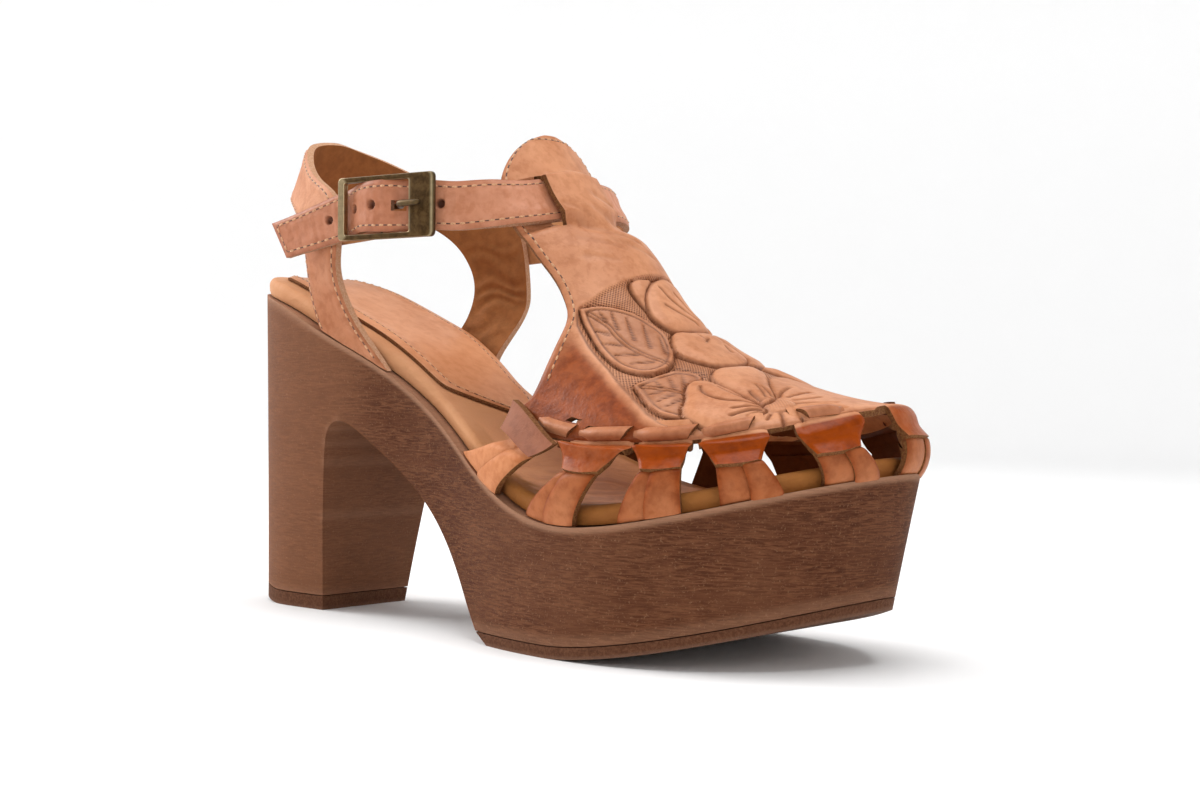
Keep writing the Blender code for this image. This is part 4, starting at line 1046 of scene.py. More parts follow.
# %% Quarter and back strap
HEEL_PLAN = [  # way round the heel from the back, x, y
    (0.0, 9.0, 0.0), (12.0, 11.5, 10.5), (24.0, 19.5, 18.8), (36.0, 29.5, 25.2), (50.0, 42.0, 31.0),
    (64.0, 55.0, 34.4), (78.0, 69.0, 35.4), (92.0, 83.0, 35.2)]
QUARTER = [  # station; front or top edge: way, z; rear or lower edge: way, z
    (-1.00, 84.0, 76.0, 56.0, 88.7), (-0.90, 75.0, 87.0, 54.2, 92.0), (-0.80, 70.3, 95.5, 51.8, 98.0),
    (-0.68, 67.6, 106.0, 49.5, 107.0), (-0.56, 68.0, 117.0, 46.0, 115.5), (-0.45, 66.0, 127.5, 40.0, 122.0),
    (-0.30, 49.0, 135.5, 29.0, 127.0), (-0.15, 25.0, 145.0, 15.0, 130.0), (0.00, 0.0, 149.5, 0.0, 131.0),
    (0.15, 26.0, 145.0, 15.0, 130.0), (0.30, 50.0, 137.0, 31.0, 127.5), (0.45, 75.0, 129.0, 46.0, 123.5),
    (0.56, 82.5, 120.0, 56.0, 117.5), (0.68, 85.0, 108.0, 62.5, 109.0), (0.80, 85.5, 98.0, 65.0, 100.0),
    (0.90, 84.0, 88.0, 64.0, 92.5), (1.00, 81.0, 77.4, 60.0, 87.0)]
QUARTER_WALL, QUARTER_STEP = 2.5, 3


def quarter_middle(stat, way):
    """Middle surface: the two edges blended across, laid on the heel plan, leaning in towards the top."""
    table = np.array(QUARTER)
    table[:, [1, 3]] *= np.sign(table[:, :1])
    rows = spline(stat, table)
    a, z = (between(rows[:, k:k + 1], rows[:, k + 2:k + 3], way) for k in (0, 1))
    side, a = np.where(a < 0, -1.0, 1.0), np.abs(a)
    plan = spline(np.clip(a, 0, 92), HEEL_PLAN)
    foot = np.clip((z - sole_top(plan[..., 0])) / 26.0, 0, 1)
    foot = np.where(np.abs(stat[:, None]) > 0.5, smooth_step(foot), 1.0)
    to_toe = dense <= ROWS
    lateral = -np.interp(plan[..., 0], *dense_xy[to_toe].T)
    half = np.where(side < 0, lateral, np.interp(plan[..., 0], *dense_xy[::-1][to_toe].T))
    rear = np.clip(1 - a / 66.0, 0, 1)
    x = plan[..., 0] + rear * np.interp(z, (100.0, 131.0, 150.0), (0.0, 5.5, 15.0))
    y = side * (half - 1.6 + (plan[..., 1] * (1 - 0.12 * np.clip((z - 126) / 24, 0, 1)) - half + 1.6) * foot)
    return np.stack([x, y, np.maximum(z, sole_top(plan[..., 0]) + GAP)], -1)


quarter_stat = ladder((-1.0, -0.45, 0.45, 1.0), (28, 40, 28), QUARTER_STEP)
quarter_way = np.linspace(0, 1, 12 * QUARTER_STEP + 1)
quarter = quarter_middle(quarter_stat, quarter_way)
quarter_out = -normals(quarter)
quarter_high = np.linalg.norm(quarter[:, 0] - quarter[:, -1], axis=1)
quarter_rim = np.minimum(quarter_way, 1 - quarter_way)[None, :] * quarter_high[:, None]
roll_q = 0.4 * np.exp(-(quarter_rim / 0.8) ** 2) - 0.18 * np.exp(-((quarter_rim - 3.4) / 1.4) ** 2)
quarter_face = quarter + quarter_out * (QUARTER_WALL / 2 - roll_q)[..., None]
wave = np.sin(quarter[..., 2] * 1.15 + 2.4 * np.sin(quarter[..., 0] * 0.31 + 0.16 * quarter[..., 2])
              + 1.7 * np.sin(quarter[..., 2] * 0.37))
on_post = smooth_step((quarter[..., 2] - 84.0) / 8.0) * smooth_step((122.0 - quarter[..., 2]) / 10.0)
far_side = quarter[..., 1] > 0
crease_q = 0.32 * wave * on_post * far_side * smooth_step(quarter_rim / 4.0)
quarter_rear = quarter - quarter_out * (QUARTER_WALL / 2 + crease_q)[..., None]
points, faces, sides = thick_sheet(quarter_rear, quarter_face, 1)
sides = {"raw": sides["raw"], "flesh": 1 - sides["raw"] - sides["flesh"]}
near_post = 0.3 * smooth_step((-0.5 - quarter_stat) / 0.1)[:, None] + 0.25 * np.exp(-quarter_rim / 1.5)
# darker in the troughs of the lining's creases: painted shade
marks = on_face(points, groove=np.clip(-wave * on_post, 0, 1) * 0.25 * far_side)
marks["burnish"] = np.pad(near_post.ravel(), (far_side.size, 0))  # the outer face comes second here
add_piece("quarter", points, faces, quarter_leather, "back_strap", marks, sides)

# %% [markdown]
# ## Ankle strap
# One band starts inside the far post, passes under the tongue's bridge and ends free behind the buckle.
# It is a width carried along a curve that leans with the instep. Punched holes are pits pressed into the
# face and painted dark as the shade in them, and the prong's hole is left open.

# %% Ankle strap
STRAP = np.array([  # x y z of the middle line, lean of the width
    (58.0, 38.6, 117.8, 0.0), (72.0, 38.4, 118.8, 0.0), (88.0, 37.4, 120.4, 0.06), (102.0, 34.8, 123.0, 0.2),
    (112.6, 31.6, 126.0, 0.36), (118.2, 26.6, 127.4, 0.5), (121.2, 20.0, 128.2, 0.57),
    (122.5, 13.2, 128.4, 0.57), (123.4, 6.5, 128.2, 0.56), (124.0, 0.0, 128.5, 0.56),
    (123.4, -6.5, 128.2, 0.56), (121.9, -13.0, 127.3, 0.56), (120.4, -19.6, 126.3, 0.54),
    (117.6, -26.0, 125.6, 0.46), (112.0, -31.0, 125.0, 0.3), (104.0, -35.0, 124.4, 0.12),
    (97.0, -37.3, 124.7, 0.03), (92.0, -38.0, 124.4, 0.0), (87.0, -40.0, 124.5, 0.0),
    (80.0, -41.2, 124.5, 0.0), (73.0, -40.0, 124.1, 0.0), (68.0, -38.0, 123.0, 0.0),
    (63.0, -37.6, 121.8, 0.0), (52.0, -38.1, 118.8, 0.0), (37.2, -38.2, 115.2, 0.0)])
STRAP_WIDTH, STRAP_WALL, END_SLANT, STRAP_STEP = 14.2, 2.3, 0.3, 4
PUNCHED, PRONG_HOLE, HOLE_RADIUS = (101.0, 79.0, 70.5, 58.5), 88.0, 1.15
strap_way = distances(STRAP[:, :3])


def way_at(x):
    """Distance along the strap where its outer half passes x."""
    return np.interp(-x, -STRAP[13:, 0], strap_way[13:])


def strap_middle(way, offset):
    """Middle surface: points along the curve, moved sideways along the leaning width; also the way out."""
    line = spline(way, np.column_stack([strap_way, STRAP]))
    lean = line[:, 3]
    wide = np.column_stack([-lean, np.zeros(len(lean)), np.sqrt(np.maximum(1 - lean ** 2, 0))])
    along = unit(np.gradient(line[:, :3], axis=0))
    wide = unit(wide - along * (wide * along).sum(1, keepdims=True))
    slant = END_SLANT * smooth_step((way - strap_way[-1] + 16.0) / 16.0)
    taper = 0.16 * smooth_step((way - strap_way[-1] + 32.0) / 32.0)
    spread = 1 - taper + 0.08 * np.exp(-((way - way_at(84.0)) / 9.0) ** 2)
    grid = line[:, None, :3] + wide[:, None] * (spread[:, None] * offset[None, :])[..., None]
    grid = grid + along[:, None] * (slant[:, None] * offset[None, :])[..., None]
    return grid, np.cross(wide, along)


hole_way = way_at(PRONG_HOLE)
strap_s = ladder((0.0, hole_way - 2.4, hole_way + 2.4, strap_way[-1]), (118, 3, 34), STRAP_STEP)
strap_o = np.linspace(-0.5, 0.5, 10 * STRAP_STEP + 1) * STRAP_WIDTH
strap, strap_out = strap_middle(strap_s, strap_o)
strap_rim = np.minimum(STRAP_WIDTH / 2 - np.abs(strap_o)[None, :], (strap_way[-1] - strap_s)[:, None])
swell = 0.22 * np.exp(-((strap_rim - 3.6) / 1.5) ** 2) - 0.4 * np.exp(-(strap_rim / 0.7) ** 2)
pit = np.zeros(swell.shape)
for x in PUNCHED:
    far = np.hypot(strap_s[:, None] - way_at(x), strap_o[None, :] - 0.4)
    pit = np.maximum(pit, smooth_step((HOLE_RADIUS + 0.35 - far) / 0.5))
    swell = swell + 0.14 * np.exp(-((far - HOLE_RADIUS - 0.7) / 0.5) ** 2)
ripple = 0.072 * np.sin(strap_s * 1.9 + 0.6 * np.sin(strap_s * 0.7))[:, None]
ripple = ripple * smooth_step((strap_rim - 1.0) / 3.0)
strap_face = strap + strap_out[:, None] * (STRAP_WALL / 2 + swell - 1.5 * pit + ripple)[..., None]
strap_rear = (strap - strap_out[:, None] * (STRAP_WALL / 2))[::STRAP_STEP, ::STRAP_STEP]
strap_keep = np.ones((len(strap_s) // STRAP_STEP, 10), bool)
strap_keep[118:121, 4:6] = False
points, faces, sides = thick_sheet(strap_face, strap_rear, STRAP_STEP, strap_keep)
tint_share = 0.3 * smooth_step((strap_s - way_at(99.0)) / 5.0)[:, None] + 0.35 * np.exp(-strap_rim / 0.9)
# the pits are darkened: painted shade in the punched holes
marks = on_face(points, groove=pit, burnish=tint_share)
add_piece("ankle_band", points, faces, strap_leather, "ankle_strap", marks, sides)

# %% [markdown]
# ## Buckle
# A cast frame with a wide bar for the prong and a thin one behind it. Its cross-section is a rounded box
# whose width changes from side to side, carried round between an inner and an outer rectangle.

# %% Buckle
BUCKLE_X, BUCKLE_Z, BUCKLE_Y, BUCKLE_TURN = (64.6, 102.4), (114.8, 133.6), (-41.8, -39.7), 0.025
RAIL, WIDE_BAR, THIN_BAR, PIN_X, PIN_Y = 1.7, 9.6, 2.6, 80.0, (-37.2, -35.6)
PRONG = [(82.0, -37.8), (86.0, -37.5), (88.2, -39.6), (90.0, -42.2), (92.6, -43.1), (98.8, -43.1)]


def rounded_rectangle(x0, x1, z0, z1, radius, per_side=26, per_corner=7):
    """Closed line of four straight sides and four quarter circles."""
    lines = []
    for cx, cz, start in ((x1, z1, 0.0), (x0, z1, 0.5), (x0, z0, 1.0), (x1, z0, 1.5)):
        a = np.pi * (start + np.linspace(0, 0.5, per_corner))
        outward = np.sign([cx - (x0 + x1) / 2, cz - (z0 + z1) / 2])
        centre = np.array([cx, cz]) - outward * radius
        lines.append(centre + radius * np.column_stack([np.cos(a), np.sin(a)]))
    full = []
    for corner_line, after in zip(lines, lines[1:] + lines[:1]):
        full += [corner_line, across(corner_line[-1:], after[:1], per_side)[0, 1:-1]]
    return np.concatenate(full)


def turned(points):
    """Tilt about the buckle's middle, front end up, like the strap it lies on."""
    hub = np.array([sum(BUCKLE_X) / 2, 0.0, sum(BUCKLE_Z) / 2])
    c, s = np.cos(BUCKLE_TURN), np.sin(BUCKLE_TURN)
    return (points - hub) @ np.array([[c, 0, s], [0, 1, 0], [-s, 0, c]]) + hub


def tube(line, radius, sides_count=12):
    """Round bar along a line, both ends closed with a small dome."""
    line = np.asarray(line, float)
    along = unit(np.gradient(line, axis=0))
    first = unit(np.cross(along, (0.0, 0.0, 1.0)) + 1e-9 * along)
    first = np.where(np.abs(along[:, 2:]) > 0.9, np.array([1.0, 0.0, 0.0]), first)
    second = np.cross(along, first)
    a = np.linspace(0, 2 * np.pi, sides_count + 1)
    size = np.broadcast_to(np.asarray(radius, float), len(line)).copy()
    size[[0, -1]] = 1e-4
    size[[1, -2]] *= 0.8
    ring = np.cos(a)[None, :, None] * first[:, None] + np.sin(a)[None, :, None] * second[:, None]
    return line[:, None] + ring * size[:, None, None]


bx, bz, by = BUCKLE_X, BUCKLE_Z, BUCKLE_Y
outer = rounded_rectangle(*bx, *bz, 1.5)
inner = rounded_rectangle(bx[0] + THIN_BAR, bx[1] - WIDE_BAR, bz[0] + RAIL, bz[1] - RAIL, 0.6)
section = np.linspace(0, 2 * np.pi, 33)
box_x = np.sign(np.cos(section)) * np.abs(np.cos(section)) ** 0.28
box_y = np.sign(np.sin(section)) * np.abs(np.sin(section)) ** 0.5
across_bar = 0.5 + 0.5 * box_x
flat_xz = inner[:, None] + (outer - inner)[:, None] * across_bar[None, :, None]
depth = (by[0] + by[1]) / 2 - (by[1] - by[0]) / 2 * box_y
frame_grid = np.stack([flat_xz[..., 0], np.broadcast_to(depth, flat_xz.shape[:2]), flat_xz[..., 1]], -1)
frame_grid = np.concatenate([frame_grid, frame_grid[:1]])
pin_z = np.linspace(bz[0] + 0.3, bz[1] - 0.3, 30)
pin_y = np.where((pin_z > bz[0] + 2.2) & (pin_z < bz[1] - 2.2), sum(PIN_Y) / 2, by[1] + 0.6)
pin_y = np.convolve(np.pad(pin_y, 2, "edge"), np.ones(5) / 5, "valid")
pin_grid = tube(np.column_stack([np.full(30, PIN_X), pin_y, pin_z]), 0.8)
points, quads = join_grids([turned(frame_grid), turned(pin_grid)])
edge_wear = np.exp(-((np.abs(np.cos(section)) - 0.72) / 0.2) ** 2)
# the thin bar at the back is lightened: a painted reflection
frame_wear_and_highlight = edge_wear[None, :] + 0.75 * (frame_grid[..., 0] < bx[0] + 3.0)
wear_and_highlight = np.concatenate([frame_wear_and_highlight.ravel(), np.full(pin_grid[..., 0].size, 0.3)])
add_piece("brass_frame", points, quads, brass, "buckle_frame", {"wear_and_highlight": wear_and_highlight}, smooth=0.9)

prong_xy = open_curve(PRONG, 60)
prong_z = np.interp(prong_xy[:, 0], (80.0, 100.0), (124.4, 125.2))
prong_size = np.interp(prong_xy[:, 0], (82.0, 92.0, 98.8), (0.85, 1.0, 0.8))
points, quads = join_grids([tube(np.column_stack([prong_xy, prong_z]), prong_size)])
add_piece("brass_prong", points, quads, brass, "buckle_prong", {"wear_and_highlight": np.full(len(points), 0.12)})

# %% [markdown]
# ## Buckle tab
# A strip of the lining leather comes out from behind the quarter, goes round the buckle's pin and back.
# The prong stands in a slot in its fold.

# %% Buckle tab
TAB = [(57.0, -32.2), (65.0, -32.8), (72.0, -33.6), (79.5, -34.5), (83.4, -35.4), (84.0, -37.0),
       (82.0, -38.2), (78.0, -38.1), (74.5, -36.8), (70.0, -35.3)]
TAB_WALL, TAB_Z, TAB_STEP = 0.9, (116.0, 129.4), 2
tab_xy = spline(ladder((0, 3, 7, 9), (18, 20, 12), TAB_STEP), numbered(TAB))
tab_along = unit(np.gradient(tab_xy, axis=0))
tab_side = np.column_stack([-tab_along[:, 1], tab_along[:, 0]])
tab_z = np.linspace(*TAB_Z, 12 * TAB_STEP + 1)


def tab_layer(offset, step):
    xy = (tab_xy + tab_side * offset)[::step]
    z = tab_z[None, ::step] + 0.09 * (xy[:, :1] - 80.0)
    return np.stack([np.broadcast_to(xy[:, :1], z.shape), np.broadcast_to(xy[:, 1:], z.shape), z], -1)


tab_keep = np.ones((50, 12), bool)
tab_keep[18:38, 4:8] = False
tab_face, tab_rear = tab_layer(TAB_WALL / 2, 1), tab_layer(-TAB_WALL / 2, TAB_STEP)
points, faces, sides = thick_sheet(tab_face, tab_rear, TAB_STEP, tab_keep)
add_piece("pin_tab", points, faces, strap_leather, "buckle_tab", sides=sides)

# %% [markdown]
# ## Knots
# The vamp is tied to the sole all round the toes. Each knot has two flat legs that rise from the sole's
# lip and close up at a waist, and a collar that rolls from the vamp's edge down over the waist. Legs
# follow a barrel profile between lip and vamp. A collar is a spline through a few rows of points: it
# leaves the vamp along the leather, folds over its edge and closes in on the waist, so it comes out
# saddle-shaped.


# %% Knots
# a and b are places along the sole's edge, counted from the toe point; q is a share of the height
Knot = namedtuple("Knot", ["foot_a", "foot_b", "waist_a", "waist_b", "waist_q", "top_a", "top_b", "fold_q",
                           "split_foot", "split_top", "glow"])
KNOTS = [Knot(*row) for row in (
    (-157.0, -135.0, -134.0, -118.6, 0.58, -137.5, -131.5, 0.96, 0.55, 0.50, 0.0),
    (-121.0, -101.5, -105.0, -93.0, 0.58, -109.5, -86.5, 0.82, 0.47, 0.22, 0.80),
    (-87.4, -69.2, -80.8, -69.6, 0.62, -84.5, -68.0, 0.87, 0.48, 0.36, 0.95),
    (-59.0, -42.3, -60.6, -48.8, 0.61, -65.6, -46.0, 0.90, 0.50, 0.58, 1.00),
    (-30.6, -13.0, -34.2, -21.0, 0.56, -38.0, -17.0, 0.86, 0.54, 0.58, 1.00),
    (-4.2, 17.5, -3.6, 16.0, 0.60, -6.0, 18.0, 0.86, 0.50, 0.50, 0.75),
    (30.4, 47.6, 29.5, 44.5, 0.58, 26.5, 48.0, 0.86, 0.50, 0.45, 1.00),
    (59.8, 78.2, 66.0, 83.0, 0.61, 61.0, 87.0, 0.90, 0.50, 0.45, 0.95),
    (91.2, 110.8, 92.0, 106.0, 0.60, 91.0, 108.0, 0.90, 0.50, 0.60, 0.80),
    (123.4, 144.6, 111.5, 122.0, 0.60, 110.0, 117.0, 0.96, 0.45, 0.50, 0.0))]
VAMP_EDGE = [  # distance from the toe point, z of the vamp edge
    (-150.0, 70.5), (-128.0, 68.5), (-112.0, 64.4), (-96.0, 62.2), (-80.0, 61.4), (-64.0, 61.8),
    (-48.0, 63.2), (-33.0, 65.6), (-19.0, 68.4), (-7.0, 70.2), (0.0, 70.6), (19.0, 69.0), (33.0, 66.6),
    (49.0, 64.4), (80.0, 62.4), (112.0, 65.4), (128.0, 69.0), (150.0, 71.0)]
LEG_INSET, VAMP_INSET, LEG_WALL, COLLAR_WALL, FLAP_WALL, KNOT_STEP = 1.7, 7.5, 2.0, 1.7, 1.9, 3


def leg_point(arc, q):
    """Barrel between sole lip (q = 0) and vamp edge (q = 1): the inset falls by a sine bulge on the way."""
    flat = 1 - np.clip(np.abs(arc) / 60.0, 0, 1)
    bulge = (3.4 + flat) * np.sin(np.pi * np.clip(q, 0, 1)) ** 0.8
    inset = between(LEG_INSET, VAMP_INSET, np.clip(q, 0, 1) ** 1.3) - bulge
    lip = edge_at(arc, np.full(arc.shape, LEG_INSET))
    z_foot = sole_top(lip[..., 0]) + GAP
    height = between(z_foot, spline(arc, VAMP_EDGE), q)
    return np.concatenate([edge_at(arc, inset), height[..., None]], -1)


def plan_out(arc):
    """Level direction away from the shoe."""
    level = edge_at(arc, -np.ones(arc.shape)) - edge_at(arc, np.zeros(arc.shape))
    return np.concatenate([level, 0 * arc[..., None]], -1)


first_rim = nearest(stations, 12.2)
rim, rim_out = (np.concatenate([g[first_rim:-1, 0], g[-1], g[-2:first_rim - 1:-1, -1]])
                for g in (vamp_face, vamp_out))
plan_gap = np.linalg.norm(rim[:, None, :2] - dense_xy[None, ::4], axis=2)
rim_arc = np.maximum.accumulate(dense_arc[::4][plan_gap.argmin(1)]) + np.linspace(0, 1e-3, len(rim))
rim_in = unit(np.cross(rim_out, unit(np.gradient(rim, axis=0))))
rim_in *= np.sign(((np.array([185.0, 3.0, 84.0]) - rim) * rim_in).sum(1))[:, None]


def on_rim(arc):
    """Points of the vamp's rim at these arcs, with the directions out of the leather and into the vamp."""
    return (look_up(arc, rim_arc, table) for table in (rim, unit(rim_out), rim_in))


# %% [markdown]
# ## Legs and collars
# A leg is a strip between its foot and its waist. A collar runs through eight rows of points. Its glow mark
# paints it amber from just below the vamp's rim, where the folded leather is polished; the tan left at the
# fold is a painted highlight, and less amber at the waist and the sides leaves the hollow darker as painted
# shade.


# %% Legs and collars
def sheet_with_marks(face, rear, **tables):
    """Closed sheet with marks that are known on its face."""
    points, faces, sides = thick_sheet(face, rear[::KNOT_STEP, ::KNOT_STEP], KNOT_STEP)
    return points, faces, on_face(points, **tables), sides


def leg_sheets(knot):
    """Two flat legs; the one nearer the toe lies over the other."""
    q = np.linspace(0, knot.waist_q + 0.05, 8 * KNOT_STEP + 1)[:, None]
    c = np.linspace(0, 1, 4 * KNOT_STEP + 1)[None, :]
    rise, rim_far = np.minimum(q / knot.waist_q, 1), np.minimum(c, 1 - c) * 9.0
    split = between(knot.split_foot, knot.split_top, rise)
    found = []
    for first, last, lift in ((0.0, split + 0.05, -0.35), (split - 0.03, 1.0, 0.55)):
        share = between(first, last, c)
        low, high = between(knot.foot_a, knot.foot_b, share), between(knot.waist_a, knot.waist_b, share)
        arc = between(low, high, (q / knot.waist_q) ** 1.2)
        middle = leg_point(arc, q + 0 * c)
        n_out = normals(middle)
        n_out = plan_out(arc) * 0.35 + 0.65 * n_out * np.sign((n_out * plan_out(arc)).sum())
        n_out[0, :, 2] = 0.0
        n_out = unit(n_out)
        rim_off = 0.35 * np.exp(-(rim_far / 0.7) ** 2)
        cup = 0.9 * (1 - (2 * c - 1) ** 2) * q
        tuck = 1.5 * smooth_step((q - knot.waist_q + 0.09) / 0.1)
        face = middle + n_out * (LEG_WALL / 2 + lift + cup - rim_off - tuck)[..., None]
        rear = middle - n_out * (LEG_WALL / 2 - lift * 0.7)
        dark = knot.glow * (0.45 + 0.5 * rise) + (0.2 + 0.3 * knot.glow) * np.exp(-rim_far)
        found.append(sheet_with_marks(face, rear, burnish=np.clip(dark, 0, 1)))
    return found


def collar_sheet(knot):
    """Spline strip through rows of points: three on the vamp, its rim, fold, two in the hollow, waist."""
    c = np.linspace(0, 1, 12 * KNOT_STEP + 1)
    hump = 4 * c * (1 - c)
    top_arc, waist_arc = between(knot.top_a, knot.top_b, c), between(knot.waist_a, knot.waist_b, c)
    start, n, inward = on_rim(top_arc)
    end_q = knot.waist_q - 0.02 * hump
    rows = [start + inward * depth + n * high
            for depth, high in ((6.0, -1.5), (3.2, -0.3), (1.1, 0.1), (0.0, 0.25))]
    for mix, share, puff in ((0.02, 0.0, 1.9), (0.45, 0.42, 0.7), (0.8, 0.75, 0.9), (1.0, 1.0, 1.5)):
        arc, q = between(top_arc, waist_arc, mix), between(knot.fold_q, end_q, share)
        rows.append(leg_point(arc, q) + plan_out(arc) * (LEG_WALL / 2 + puff + 0.5 * (hump - 1))[:, None])
    gaps = np.linalg.norm(np.diff(np.stack(rows), axis=0), axis=2).mean(1)
    row_t = np.concatenate([[0], np.cumsum(gaps)])
    t = np.linspace(0, row_t[-1], 12 * KNOT_STEP + 1)
    table = np.column_stack([row_t, np.stack(rows).reshape(len(rows), -1)])
    face = spline(t, table).reshape(len(t), len(c), 3)
    n_out = normals(face)
    n_out *= np.sign((n_out[-1] * plan_out(waist_arc)).sum())
    side = np.exp(-(np.minimum(c, 1 - c) * 18.0 / 0.8) ** 2)
    face = face - n_out * (0.35 * side[None, :, None])
    # tan above the fold: painted highlight; less amber at the waist and sides leaves the hollow darker:
    # painted shade
    below_rim = smooth_step((t - row_t[3] - 0.5) / 1.2)
    at_waist = smooth_step((t - row_t[6]) / (row_t[7] - row_t[6]))
    amber_and_painted_light = knot.glow * (below_rim * (1 - 0.12 * at_waist))[:, None] * (1 - 0.1 * side[None, :])
    return sheet_with_marks(face, face - n_out * COLLAR_WALL, glow=amber_and_painted_light)


# %% [markdown]
# ## Corner bands and laces
# A plain band is folded over each rear corner of the vamp, and short lace strips lie along its edge. All
# strips of one kind become one mesh.

# %% Corner bands and laces
FLAP = [  # corner band from the heel side on: arc and height share at its waist, middle and upper edge
    (-133.5, 0.70, -134.0, 0.85, -134.4, 0.985), (-128.0, 0.66, -128.6, 0.80, -128.0, 0.945),
    (-123.0, 0.615, -121.2, 0.74, -119.0, 0.87), (-118.2, 0.58, -113.8, 0.68, -109.8, 0.78)]


def flap_sheet(mirror):
    """Band folded over the corner, tight at its waist, flaring upwards; mirror puts it on the inner side."""
    c, r = np.linspace(0, 1, 10 * KNOT_STEP + 1), np.linspace(0, 3, 10 * KNOT_STEP + 1)
    table = spline(r, numbered(FLAP))
    bend = [(1 - c) * (1 - 2 * c), 4 * c * (1 - c), c * (2 * c - 1)]
    arc, q = (sum(table[:, k + 2 * i, None] * bend[i][None, :] for i in range(3)) for k in (0, 1))
    arc = 108.0 + 0.55 * (-arc - 109.8) if mirror else arc
    lift = LEG_WALL / 2 + 0.9 + (c ** 2 - 0.5 * bend[1])[None, :] - 0.8 * (1 - r / 3)[:, None] * c[None, :]
    face = leg_point(arc, q) + plan_out(arc) * lift[..., None]
    return sheet_with_marks(face, face - plan_out(arc) * FLAP_WALL)


LACES = [  # arcs of the two ends of a lace strip, its inset at the ends, cut slant
    (-124.0, -109.0, 3.6, 2.6, 2.4), (-106.0, -88.5, 2.3, 2.4, 3.0), (-86.5, -67.5, 2.0, 2.3, 2.6),
    (-64.5, -50.0, 1.8, 2.4, 2.2), (-21.5, -34.5, 1.8, 2.6, -2.2), (117.0, 102.5, 3.4, 2.6, -2.4),
    (99.0, 81.5, 2.3, 2.4, -3.0), (75.0, 60.5, 2.0, 2.3, -2.6)]


def lace_sheet(arc_a, arc_b, inset_a, inset_b, slant):
    """Short strip that lies along the vamp's edge and ends in a slanting cut, a little off the leather."""
    s, w = np.linspace(0, 1, 6 * KNOT_STEP + 1)[:, None], np.linspace(-1, 1, 3 * KNOT_STEP + 1)[None, :]
    arc = between(arc_a, arc_b, s) + 0.6 * slant * w * s
    e = between(inset_a, inset_b, s) + 1.9 * w
    start, n, inward = on_rim(arc)
    high = -0.6 + 1.25 * smooth_step(s / 0.35) + 1.3 * (1 - w ** 2)
    face = start + inward * e[..., None] + n * (high - e ** 2 / 70.0)[..., None]
    points, faces, _, sides = sheet_with_marks(face, face - n * COLLAR_WALL)
    return points, faces, {"burnish": np.full(len(points), 0.5)}, sides


def merge(sheets):
    """One mesh from several sheets: numbering shifted, marks and sides joined."""
    starts = np.cumsum([0] + [len(sheet[0]) for sheet in sheets])
    faces = [group + start for sheet, start in zip(sheets, starts) for group in sheet[1]]
    marks, sides = ({label: np.concatenate([sheet[k][label] for sheet in sheets]) for label in sheets[0][k]}
                    for k in (2, 3))
    return np.concatenate([sheet[0] for sheet in sheets]), faces, marks, sides


for name, hide, sheets in (
        ("knot_legs", knot_leather, [sheet for knot in KNOTS for sheet in leg_sheets(knot)]),
        ("knot_collars", collar_leather, [collar_sheet(knot) for knot in KNOTS[1:-1]]),
        ("corner_bands", corner_leather, [flap_sheet(mirror) for mirror in (False, True)]),
        ("lace_strips", vamp_leather, [lace_sheet(*lace) for lace in LACES])):
    points, faces, marks, sides = merge(sheets)
    add_piece(name, points, faces, hide, "upper", marks, sides)
print("rim arcs", round(rim_arc[0], 1), round(rim_arc[-1], 1))

# %% [markdown]
# ## Stitches
# A stitch is a small capsule that dips into the leather at both ends, where a needle hole shows as a dark
# dot: painted shade in the hole. A row of them is laid along a line on the leather. One capsule has a few
# dozen faces, because there are many.


# %% Stitches
def stitch_row(name, line, out, node, pitch=2.9, length=2.05, radius=0.34):
    """Threads and needle holes along a line with outward directions: a capsule per stitch, a dark dot of
    painted shade per hole.
    """
    way = distances(line)
    count = max(int(way[-1] / pitch), 1)
    middle = (np.arange(count) + 0.5) * way[-1] / count
    centre, up = look_up(middle, way, line), unit(look_up(middle, way, out))
    along = unit(look_up(middle + 0.4, way, line) - look_up(middle - 0.4, way, line))
    side = np.cross(up, along)
    t, a = np.linspace(-1, 1, 6), np.linspace(0, 2 * np.pi, 7)
    ring = side[:, None] * np.cos(a)[None, :, None] + up[:, None] * np.sin(a)[None, :, None]
    for label, material, spots, size, thick, sink, drop in (
            ("threads", thread, (0.0,), length / 2, radius, 0.3, 0.0),
            ("holes", needle_hole_shade, (-0.58, 0.58), 0.5, 0.3, 0.0, 0.2)):
        round_off = np.sqrt(np.maximum(1 - t ** 4, 1e-8)) * thick
        grids = []
        for spot in spots:
            body = (centre + along * spot * length - up * drop)[:, None, None]
            body = body + along[:, None, None] * (size * t)[None, :, None, None]
            body = body + ring[:, None] * round_off[None, :, None, None]
            grids.append(body - up[:, None, None] * (sink * t ** 2)[None, :, None, None])
        points, quads = join_grids(list(np.concatenate(grids)))
        add_piece(f"{name}_{label}", points, quads, material, node)


